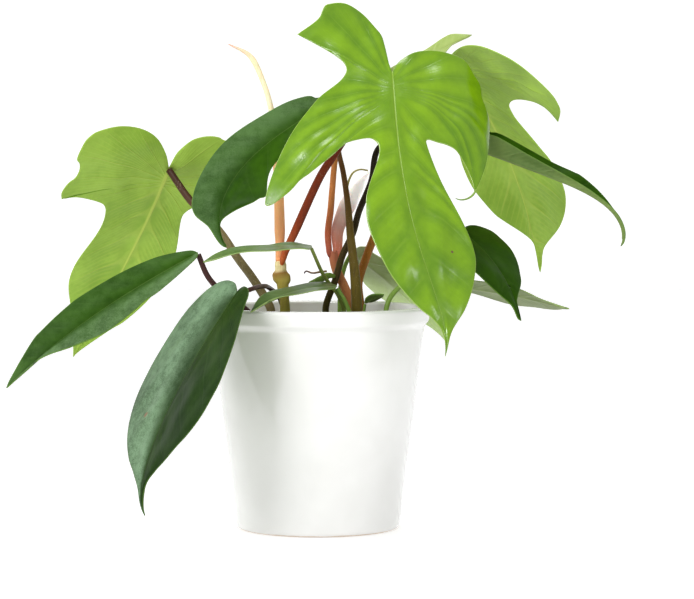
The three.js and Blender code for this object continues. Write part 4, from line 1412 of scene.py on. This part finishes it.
def leaves() -> list[Leaf]:
    """The leaves, with the outlines, places and bends of their solids."""
    return [
        Leaf(
            "leaf_front", FRESH, (40.3, -20, 249.7), -84.5, 57.3, 167.8,
            right_edge=[
                (2.7, -11.2), (3.1, -16.1), (4.5, -22), (7.6, -26.4), (15.1, -34.8), (24.3, -40.4),
                (33.4, -40), (36.4, -37.4), (39.5, -31.1), (50.7, -22.7, 1), (31.8, -10.1), (25.1, -1.8),
                (28.2, 6.5), (39.5, 16.3), (44.6, 22), (55.1, 35), (64.4, 49.3), (72.1, 63.2), (75.1, 70.8),
                (74.3, 72, 1), (70.3, 71.5), (60.9, 67), (54.9, 62.4), (48.5, 59), (35.8, 50.9),
                (30.5, 46.1), (26, 44), (16.1, 42.2), (12.3, 44), (10.7, 47.9), (12.3, 54.9), (19.9, 70.9),
                (22.3, 77.8), (24, 90.5), (21.6, 108.2), (18.9, 120.1), (14.6, 131), (9.8, 139.9),
                (5.4, 145.7), (1.1, 154.7),
            ],
            left_edge=[
                (-4.3, -7.1), (-13.6, -13.7), (-25.7, -15.6), (-38.6, -14), (-44.3, -11.5), (-48.7, -5.9),
                (-53, -1.1), (-53.4, 6.5), (-55.9, 12), (-58.1, 19.2), (-56.8, 30.4), (-54.4, 42.1),
                (-51, 52.6), (-45.8, 64.4), (-39.4, 75.9, 1), (-39.5, 69.7), (-38.3, 62.4), (-35.9, 55.2),
                (-32.6, 48.2), (-28.3, 45.2), (-22.2, 43.6), (-16.5, 42.3), (-16, 46.8), (-20.3, 67.7),
                (-26.4, 89.5), (-28.8, 101.4), (-29.6, 111.4), (-28.5, 120.5), (-24.1, 130.2),
                (-19.4, 137.4), (-13.2, 144.7), (-7.2, 150.2), (-3.9, 154.2), (-1.7, 159.3),
            ],
            droop=17.6, late=1.2, rear=25, rear_length=45, sweep=-37.9, sweep_late=2, hook=51.6,
            right=Half(6, -12, 1.2), left=Half(-8, -30, 3), bow=(0, 1),
            spokes=270, rings=28, quilt=0.6, wave=0.6, spots=(Spot(-16.9, 112.2, 0.8),),
        ),
        Leaf(
            "leaf_young", YOUNG, (18.5, 18, 233), -5, -34.6, 77.4,
            right_edge=[
                (7.8, 4.8), (7.6, 15.5), (7.2, 41.5), (6.5, 51.9), (3.3, 60), (0.5, 65.6), (0.5, 74.3),
            ],
            left_edge=[
                (-3.5, 2.1), (-5.4, 9.7), (-6.4, 20.8), (-5.6, 49.5), (-6.6, 62.6), (-5.9, 68.6),
            ],
            roll=-52, droop=14, spokes=90,
        ),
        Leaf(
            "leaf_back_right", PALE, (73.5, 38, 259.1), 42.4, 38.8, 146,
            right_edge=[
                (8.9, -6.2), (22.7, -11.7), (37.6, -12), (52.3, -6.7), (58.9, -2.3), (63.8, 4.3),
                (71.3, 19.4), (72, 26.8), (69.9, 34.1), (61.6, 43.4, 1), (59.9, 37.3), (56.7, 33.6),
                (50.3, 30.7), (42.1, 30), (34.7, 30.5), (28.2, 32.3), (22.7, 36.2), (21.3, 41.1),
                (22.3, 48.6), (30.1, 64.4), (34.7, 71.8), (37.8, 79.2), (39, 87.6), (38.6, 95.4),
                (35.6, 103.2), (30.4, 111.1), (22.8, 118.8), (8.4, 129.4), (4.1, 135.3), (2.3, 140.8),
            ],
            left_edge=[
                (-5, -4), (-14, -7), (-26, -5), (-38, 3), (-46, 14), (-52, 34, 1), (-46, 29), (-38, 28),
                (-32, 32), (-28, 42), (-28.9, 60.7), (-30.5, 75), (-29.1, 90), (-22.5, 105.8), (-16.8, 113),
                (-5, 123.4), (-1.1, 128.2), (-0.5, 133.9),
            ],
            droop=40, rear=15, rear_length=35,
            right=Half(-4, -6), left=Half(-12, -30, 1, -20), bow=(1, 1), lobe_start=34,
            spokes=220, rings=24, quilt=0.5,
        ),
        Leaf(
            "leaf_right", DARK, (53.3, 12, 221.4), -12.1, 20.2, 140.7,
            right_edge=[
                (5, -5), (9, -2), (12, 8), (14, 24), (11.6, 41), (11.4, 48.2), (7.2, 69.2), (2.4, 104),
                (1.5, 116), (1.4, 136),
            ],
            left_edge=[
                (-5, -5), (-10, -3), (-15, 8), (-19, 24), (-13.9, 38.3), (-14.8, 43.3), (-14, 51.3),
                (-9.6, 76.7), (-8.8, 91), (-8.2, 96.5), (-2, 116.9), (-1.5, 124), (-1.4, 136),
            ],
            droop=98.9, late=8, right=Half(60, 0), left=Half(50, 0),
            spokes=150, wave=0.3,
        ),
        Leaf(
            "leaf_back_left", PALE, (-83.7, 30, 197.7), 115.1, 42.8, 143.7,
            right_edge=[
                (1.1, -10.1), (3.3, -16), (7.4, -22.3), (12.3, -25.6), (17.6, -27.3), (22.1, -27.4),
                (25.8, -26.2), (47, -24), (51, -12), (48, 0), (50, 11, 1), (40, 19), (24.5, 23.6),
                (21.1, 25.8), (18.7, 30.2), (18.4, 34.1), (19.9, 41.2), (24.3, 57.6), (25.6, 69),
                (23.8, 90.8), (17.3, 110.1), (10.9, 120.6), (1.7, 138.1),
            ],
            left_edge=[
                (-4.7, -10.8), (-13, -21.8), (-23.8, -27.8), (-37.2, -29.5), (-49.4, -26.9), (-54.4, -23.6),
                (-56.8, -19.2), (-58.1, -10), (-55.5, -6.3), (-54.1, -1.1), (-54.9, 5.6), (-57.5, 9),
                (-59.4, 13.9), (-60.1, 19.5), (-58.5, 25.2, 1), (-54.3, 23.8), (-47.3, 24.2), (-33.4, 29.1),
                (-29.3, 32.8), (-27.4, 37.4), (-26.1, 45.6), (-26.6, 56.3), (-29.9, 74.8), (-30.4, 84.8),
                (-29, 93.7), (-25.7, 101.4), (-19.9, 111), (-19, 114), (-7, 132),
            ],
            roll=-8, droop=22, rear=18, rear_length=35, sweep=-20,
            right=Half(-6, -8), left=Half(-6, -10),
            spokes=220, rings=24, quilt=0.5,
        ),
        Leaf(
            "leaf_left_middle", DARK, (9.4, 0, 235), -151.3, 26.1, 115.5,
            right_edge=[
                (3, -5), (6.4, 6.9), (9.6, 9.2), (11.9, 13), (15, 23.6), (16.7, 41.9), (18.3, 60.5),
                (18, 73.2), (16.5, 90.4), (13.8, 97.6), (6, 103.6), (2.1, 112.8),
            ],
            left_edge=[
                (-3, -5), (-8, 4), (-11, 16), (-13, 36), (-15, 58), (-22.2, 75.5), (-19.3, 80.8),
                (-15.4, 86.7), (-5.6, 95.9), (-2.1, 99.2), (-0.5, 102.6), (-0.5, 111), (-0.9, 114.8),
            ],
            roll=38, droop=31.9, late=1.2, rear=15, rear_length=35, sweep=-84.6, sweep_late=3.5,
            # A painted sheen, a greyish reflection, lies on the right half.
            right=Half(8, -14), left=Half(8, -14), spokes=150, rings=18, painted_sheen_shares=(0.3, 0.0),
        ),
        Leaf(
            "leaf_left", DARK, (-64.8, -20, 151.9), -154.2, 25.9, 128.8,
            right_edge=[
                (3.2, 1.8), (6.3, 7.5), (9.3, 15.3), (11.5, 25.1), (13.7, 46.3), (15, 66.5), (14.5, 75.1),
                (11.9, 93.6), (10.5, 101.5), (2.8, 122.9),
            ],
            left_edge=[
                (-3.1, 2.9), (-6, 10.6), (-12.9, 32), (-14.1, 43.1), (-16.1, 52.5), (-17, 71.1),
                (-10.9, 89), (-3.9, 100), (-0.5, 106.5), (-0.5, 113.2),
            ],
            roll=24, droop=20, late=1.5, rear=10, rear_length=35,
            # A painted sheen, a greyish reflection, lies on both halves, most on the left.
            right=Half(22, -8), left=Half(2, -10), spokes=150, rings=18, painted_sheen_shares=(0.12, 0.5),
        ),
        Leaf(
            "leaf_front_left", DEEP, (-42, -62, 132.8), -153.6, 52.9, 134.7,
            right_edge=[
                (7.4, -4.6), (14, -5.8), (20.4, -5.5), (27.3, -3.3), (34, 1.7), (39.5, 10.1), (43.4, 20),
                (47.1, 42.4), (47.3, 54.6), (44.7, 67.6), (38.4, 79.5), (30.6, 89.4), (20.4, 99),
                (11, 106.7), (4.1, 115.3), (1.4, 124.5),
            ],
            left_edge=[
                (-0.5, -2), (-5.5, -3.4), (-14.2, -1.9), (-22.4, 2.6), (-27.3, 8.9), (-42.1, 29.5),
                (-49.3, 51), (-49.7, 62.8), (-48, 75.2), (-42, 87.3), (-32.6, 97.3), (-23.6, 104.8),
                (-13, 110.3), (-4.8, 114.8), (-2.1, 121.7),
            ],
            droop=18.6, late=1.2, rear=20, rear_length=35, sweep=-65.9, sweep_late=6,
            right=Half(6, -10), left=Half(10, -14), spokes=170, rings=22, quilt=0.35,
            # A painted sheen, a greyish reflection, covers nearly all of the right half.
            painted_sheen_shares=(0.9, 0.04), spots=(Spot(19.9, 77.3, 1.8, (0.2, 0.13, 0.08)),),
        ),
        Leaf(
            "leaf_low_right", DARK, (79.3, 5, 162.6), -44.3, 27.3, 65.7,
            right_edge=[
                (6, -4), (15, -2), (20, 8), (22.2, 30.1), (19.9, 35.4), (11.9, 48.5), (4.9, 57), (2.9, 64),
            ],
            left_edge=[
                (-6.5, -4.2), (-14.7, -5.8), (-22, -4.4), (-26.9, -0.6), (-25.5, 8.3), (-23, 18),
                (-19, 28.9), (-14.8, 37.7), (-11.4, 43.6), (-3.1, 52), (-0.7, 56),
            ],
            droop=45, late=1.2, rear=15, rear_length=25, right=Half(4, -20), left=Half(4, -20),
            spokes=90, rings=16, tears=(Spot(-0.5, 44.9, 1.0),),
        ),
        Leaf(
            "leaf_sliver_right", GREY, (67.8, 20, 132.6), -20.7, 2.3, 76.8,
            right_edge=[
                (5, 4), (11.3, 20.8), (13.1, 27.1), (13.4, 34.3), (10.4, 48.8), (7.7, 55.2), (4.5, 60.4),
                (0.5, 71.4),
            ],
            left_edge=[
                (-5, 4), (-7.6, 9.4), (-11.9, 14.1), (-18.1, 26.5), (-21, 31.6), (-22.9, 38.3),
                (-22.1, 45.7), (-17.5, 56.6), (-9.4, 67.3),
            ],
            roll=22, droop=14, spokes=90,
        ),
        Leaf(
            # Its colours are painted light, standing for light on a leaf that lies in shade.
            "leaf_behind_right", LIT, (18.7, 31, 150.5), 34.3, 31.6, 83.7,
            right_edge=[
                (8.6, -3.1), (12.5, -2.7), (14.9, -1), (13, 6), (16, 24), (16, 46), (9, 68),
            ],
            left_edge=[
                (-6.3, 4.4), (-10.6, 15.9), (-20.4, 27.5), (-21.3, 35.2), (-19.6, 44), (-16.2, 53.3),
                (-7.6, 65.8), (-3.4, 70.9), (-0.5, 76.3),
            ],
            roll=10, droop=15, spokes=90,
        ),
        Leaf(
            "leaf_sliver_left", GREY, (-2.8, -35, 155.6), -154.3, -8.4, 63.5,
            right_edge=[
                (6.2, -2), (7, 1.2), (8.5, 5.3), (4.9, 13.9), (2.2, 23.7), (2.9, 32.1), (5.4, 40.8),
                (5.2, 54.3),
            ],
            left_edge=[
                (-18.7, 9.9), (-18.5, 15.2), (-16.2, 31.3), (-8.4, 46.4), (-5.4, 52.7), (-3.9, 58.6),
            ],
            roll=8, droop=30, spokes=80,
        ),
        Leaf(
            "leaf_sliver_front", GREY, (10.6, -30, 133.9), -149, -4.4, 54.6,
            right_edge=[
                (6.5, -1.2), (12.8, 0.3), (10.1, 8.1), (8.3, 18.3), (11.1, 32.1), (10.4, 38.7), (7, 45.4),
            ],
            left_edge=[
                (-6.3, 6.2), (-10.1, 16.3), (-8.9, 24.8), (-4.2, 31.4), (-0.5, 38.5), (-0.5, 49.6),
            ],
            roll=8, droop=35, spokes=80,
        ),
        Leaf(
            "leaf_small", DARK, (25.5, -19, 124.5), -20, -36, 13,
            right_edge=[(3, 3), (3.5, 7), (2, 11)],
            left_edge=[(-3, 3), (-3.5, 7), (-2, 11)],
            roll=30, droop=30, spokes=30, rings=6, quilt=0.1, wave=0.1,
        ),
    ]


def standing(points: list) -> list:
    """The points of a stalk that goes down into the soil below its first point."""
    x, y, _ = points[0]
    return [(x, y, SOIL_TOP - HOLE_DEPTH + GAP), (x, y, SOIL_TOP + SOIL_CROWN + 2), *points]


def petiole(
    blades: dict[str, Leaf],
    which: str,
    finish: StalkFinish,
    points: list,
    radii: list,
    on_stem: bool = False,
) -> Stalk:
    """A petiole from the soil or a stem to the underside of its leaf.

    Args:
        blades: The leaves by name.
        which: How the names of the petiole and of the leaf that it carries both end.
        finish: Its skin.
        points: Places along it.
        radii: Its radii, evenly spaced along it.
        on_stem: Whether it grows on a stem rather than in the soil.

    Returns:
        The petiole.
    """
    leaf = blades[f"leaf_{which}"]
    normal = np.array(leaf.turned() @ Vector((0, 0, 1)))
    top = np.array(leaf.at, float)
    along = top - np.array(points[-1])
    along /= np.linalg.norm(along)
    slant = math.sqrt(1 - float(normal @ along) ** 2)
    end = top - normal * (BLADE / 2 - LEAF_HOLD + radii[-1] * slant)
    if on_stem:
        first, second = np.array(points[0], float), np.array(points[1], float)
        sunk = first - (second - first) / np.linalg.norm(second - first) * ROOTED_DEPTH
        foot = [tuple(sunk), *points]
    else:
        foot = standing(points)
    return Stalk(
        f"petiole_{which}", finish, [*foot, tuple(end)], radii, Section.GROOVED,
        swelling=rooted if on_stem else None,
    )


def rooted(angle: np.ndarray, along: np.ndarray) -> np.ndarray:
    """Narrows the foot of a stalk that grows out of a stem.

    Args:
        angle: Angles round the stalk.
        along: Shares of its length.

    Returns:
        What the radius gains, which is negative.
    """
    return -ROOTED_LOSS * np.clip(1 - along / ROOTED_SHARE, 0, 1) ** 2 * np.ones_like(angle)


def stem_relief(angle: np.ndarray, along: np.ndarray) -> np.ndarray:
    """Swellings of the left stem: two leaf scars and the fine rings at its node.

    Args:
        angle: Angles round the stem.
        along: Shares of its length.

    Returns:
        What the radius gains.
    """
    gain = sum(height * np.exp(-(((along - place) / width) ** 2)) for place, width, height in NODE_RINGS)
    for place, scar_angle, height, width in LEAF_SCARS:
        turn = np.angle(np.exp(1j * (angle - scar_angle)))
        gain = gain + height * np.exp(-((turn / width) ** 2) - ((along - place) / SCAR_REACH) ** 4)
    return gain


def stalks(blades: dict[str, Leaf]) -> list[Stalk]:
    """The stems, petioles and other growths, along the lines of their solids."""
    grown = partial(petiole, blades)
    return [
        Stalk(
            "stem_left", OLIVE_STEM,
            standing([(-18, -8, 122), (-19, -8, 132), (-20, -8, 140), (-20.3, -8, 144), (-20.5, -8, 147)]),
            [2.8, 2.8, 2.8, 2.8, 2.7, 3.2, 3.4, 2.9], sides=28, steps=96, swelling=stem_relief,
        ),
        grown(
            "front", RED,
            [
                (-19, -10.6, 147.6), (-17.6, -11.5, 152), (-13, -12, 161.5), (2, -14, 194),
                (9.5, -15, 205.5), (24, -17, 228),
            ],
            [1.8, 2.5, 2.4, 2.3, 2.2, 2], on_stem=True,
        ),
        Stalk(
            "new_leaf_roll", ROLLED,
            [
                (-21.4, -5.4, 146.8), (-20.8, -4.6, 157), (-21, -3, 172), (-21.5, 0, 186), (-23, 6, 207.5),
                (-26, 8, 231), (-30.5, 8, 246), (-37.5, 8, 259.5), (-49.5, 8, 266),
            ],
            [1.8, 3, 2.8, 2.5, 2.2, 1.7, 1.5, 1.6, 0.3], Section.ROLLED, sides=28, steps=110,
        ),
        Stalk(
            "stem_right", STEM_ORANGE,
            standing([(18.5, 5, 122), (14.5, 5, 132.5), (10, 5, 142), (8, 5, 152)]),
            [2.6, 2.6, 2.5, 2.5, 2.7],
        ),
        grown(
            "young", ORANGE,
            [(6.2, 4, 152.6), (5.5, 4.4, 161.5), (7, 5, 174), (8, 6, 186.5), (9.5, 7, 202), (13, 10, 218)],
            [1.8, 2, 1.8, 1.6, 1.4], on_stem=True,
        ),
        Stalk(
            "sheath", PAPERY,
            [
                (9.2, 5.4, 147.6), (10.6, 6.4, 152.2), (10.8, 7, 163), (14.5, 8.6, 173), (19, 9.5, 182),
                (24, 9.5, 190), (28, 9, 195.5),
            ],
            [1.9, 2.8, 3.2, 4, 2.8, 0.4], Section.KEELED, sides=28, swelling=rooted,
        ),
        Stalk(
            "filament", YELLOW_THREAD,
            [(15.6, -3.3, 184), (17, -0.9, 191), (19.5, 2, 195.4), (23.5, 5, 197), (27.5, 5.5, 196.4)],
            [0.6, 0.6, 0.6, 0.5, 0.5], sides=12, steps=40,
        ),
        grown(
            "left_middle", OLIVE,
            [
                (21.5, -8, 122), (20.5, -8, 139.5), (18, -8, 161.5), (16.5, -7, 178), (14, -5, 195.5),
                (11.5, -4, 207),
            ],
            [3.3, 3.2, 2.6, 1.8, 1.5, 1.4],
        ),
        grown(
            "right", BLACK,
            [
                (4.5, -1, 122), (9.5, -1, 136), (13.5, -1, 149.5), (19.5, 0, 162.5), (22.5, 0, 173.5),
                (29.5, 0, 191), (33, -1, 208),
            ],
            [2, 2, 2, 1.9, 1.8, 1.6],
        ),
        grown(
            "back_right", REDBROWN,
            [
                (23.5, 12, 122), (22.5, 12, 134), (26.5, 13, 147.5), (30.5, 14, 158), (45.5, 27, 196.5),
                (60, 35, 227),
            ],
            [2.5, 2.5, 2.4, 2.2, 2],
        ),
        grown(
            "back_left", SPECKLED,
            [
                (-26, 6, 120), (-30, 8, 127.5), (-36.5, 10, 137.5), (-44.5, 13, 148), (-53, 17, 160.5),
                (-62.5, 21, 171.5), (-71.5, 24, 180),
            ],
            [2.6, 2.6, 2.5, 2.3, 2],
        ),
        grown(
            "left", PURPLE,
            [(-36, -12, 117), (-43.5, -14, 124.5), (-52, -16, 130.5), (-59.5, -18, 139)],
            [1.8, 1.8, 1.7, 1.6],
        ),
        grown(
            "front_left", PURPLE,
            [(-19, 4, 119), (-21.5, 2, 127), (-26, -8, 132), (-30, -34, 134.5), (-36, -54, 133.5)],
            [1.4, 1.4, 1.3, 1.3],
        ),
        grown(
            "sliver_left", DULL_GREEN,
            [(14.5, -13, 120), (11, -14, 129), (6.5, -15.5, 135), (3, -21, 140.5)], [1.2, 1.2, 1.1, 1],
        ),
        grown(
            "sliver_front", GREEN,
            [(17.5, -28, 119), (14.5, -29, 127)], [1.3, 1.3, 1.2],
        ),
        grown(
            "sliver_right", GREEN,
            [(42, 2, 114), (46, 6, 121), (52, 12, 127), (60, 17, 130)], [2.7, 2.7, 2.5, 2],
        ),
        grown(
            "low_right", GREEN,
            [(37, -8, 117), (39.5, -6, 126.5), (51.5, -1, 138.5), (66, 3, 151)], [1.5, 1.5, 1.4, 1.3],
        ),
        grown(
            "behind_right", GREEN,
            [(12, 30, 120), (12.5, 31, 132), (15, 31.5, 143)], [1.4, 1.4, 1.3],
        ),
        grown("small", GREEN, [(25, -18.5, 117)], [0.9, 0.8]),
        Stalk(
            "bud", GREEN, [(9, -3.4, 138.5), (6, -6, 139), (1, -9, 137), (-5, -10, 135.5)],
            [1, 1.7, 1.5, 0.3], Section.KEELED, sides=16, steps=40,
        ),
        Stalk(
            "tendril", DRY,
            [(4.8, -5.5, 141.4), (1, -7, 141), (-3, -8, 140.5), (-6.5, -8, 141.5), (-7.5, -8, 140.3)],
            [0.6, 0.6, 0.5, 0.4], sides=12, steps=40,
        ),
        Stalk(
            "leaf_front_hook", GREEN,
            [
                (85, -43.2, 186.5), (82.6, -43.2, 183.2), (79, -43.2, 181.3), (75.5, -43.2, 181.2),
                (73.8, -43.2, 182),
            ],
            [0.5, 0.6, 0.5, 0.4, 0.2], sides=10, steps=30, stands=False,
        ),
    ]


@dataclass
class Studio:
    """The floor, the lights and the camera."""

    target: Point = (15.95, 0.0, 125.58)
    distance: float = 1500.0
    elevation: float = 3.0
    lens: float = 141.47

    def build(self) -> None:
        """Builds the studio round the plant."""
        self._camera()
        self._floor()
        self._world()
        for softbox in SOFTBOXES:
            self._softbox(*softbox)
        bpy.context.scene.view_settings.view_transform = "Standard"

    def _camera(self) -> None:
        """Makes the camera, in front of the plant and a little above its pot's rim."""
        data = bpy.data.cameras.new("camera")
        data.lens = self.lens
        data.sensor_width = 36.0
        data.sensor_fit = "HORIZONTAL"
        data.clip_end = 20.0
        camera = bpy.data.objects.new("camera", data)
        angle = math.radians(self.elevation)
        back = Vector((0.0, -math.cos(angle), math.sin(angle))) * self.distance
        camera.location = (Vector(self.target) + back) * METRE
        camera.rotation_euler = (math.pi / 2 - angle, 0.0, 0.0)
        bpy.context.scene.collection.objects.link(camera)
        bpy.context.scene.camera = camera

    def _floor(self) -> None:
        """Makes a pale floor that curves up behind the plant."""
        sweep = bmesh.new()
        corners = [sweep.verts.new((-FLOOR_SIDE, y, z)) for y, z in FLOOR_OUTLINE]
        for pair in zip(corners, corners[1:]):
            sweep.edges.new(pair)
        bmesh.ops.bevel(
            sweep, geom=corners[1:-1], offset=FLOOR_ROUNDING, segments=24, profile=0.5, affect="VERTICES",
            material=-1,
        )
        drawn = bmesh.ops.extrude_edge_only(sweep, edges=sweep.edges[:])
        moved = [item for item in drawn["geom"] if isinstance(item, bmesh.types.BMVert)]
        bmesh.ops.translate(sweep, vec=(2 * FLOOR_SIDE, 0.0, 0.0), verts=moved)
        for face in sweep.faces:
            face.smooth = True
        mesh = bpy.data.meshes.new("floor")
        sweep.to_mesh(mesh)
        sweep.free()
        graph = Graph("floor_paper")
        cloud = graph.noise(graph.object_places(), 3.0, 2.0)
        graph.finish(
            graph.mixed(cloud, (0.86, 0.86, 0.86), (0.89, 0.89, 0.89)), 0.9,
            Emission_Color=(1.0, 1.0, 1.0), Emission_Strength=FLOOR_GLOW,
        )
        mesh.materials.append(graph.material)
        floor = bpy.data.objects.new("floor", mesh)
        bpy.context.scene.collection.objects.link(floor)

    @staticmethod
    def _world() -> None:
        """Makes an even white surrounding light."""
        world = bpy.data.worlds.new("studio")
        world.use_nodes = True
        sky = next(node for node in world.node_tree.nodes if node.type == "BACKGROUND")
        sky.inputs["Color"].default_value = (1.0, 1.0, 1.0, 1.0)
        sky.inputs["Strength"].default_value = SKY_LIGHT
        bpy.context.scene.world = world

    def _softbox(self, name: str, place: Point, size: float, power: float) -> None:
        """Makes a square soft light that faces the plant, at a place in metres."""
        data = bpy.data.lights.new(name, "AREA")
        data.shape = "SQUARE"
        data.size = size
        data.energy = power
        lamp = bpy.data.objects.new(name, data)
        lamp.location = place
        aim = Vector(LIT_PLACE) - Vector(place)
        lamp.rotation_euler = aim.to_track_quat("-Z", "Y").to_euler()
        bpy.context.scene.collection.objects.link(lamp)


def main() -> None:
    """Builds the studio, the plant and its pot."""
    logging.basicConfig(level=logging.INFO, format="%(message)s")
    Studio().build()
    blades = {leaf.name: leaf for leaf in leaves()}
    for leaf in blades.values():
        leaf.build()
    for stalk in stalks(blades):
        stalk.build()
    Pot().build()
    Soil().build()
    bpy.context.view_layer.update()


if __name__ == "__main__":
    main()
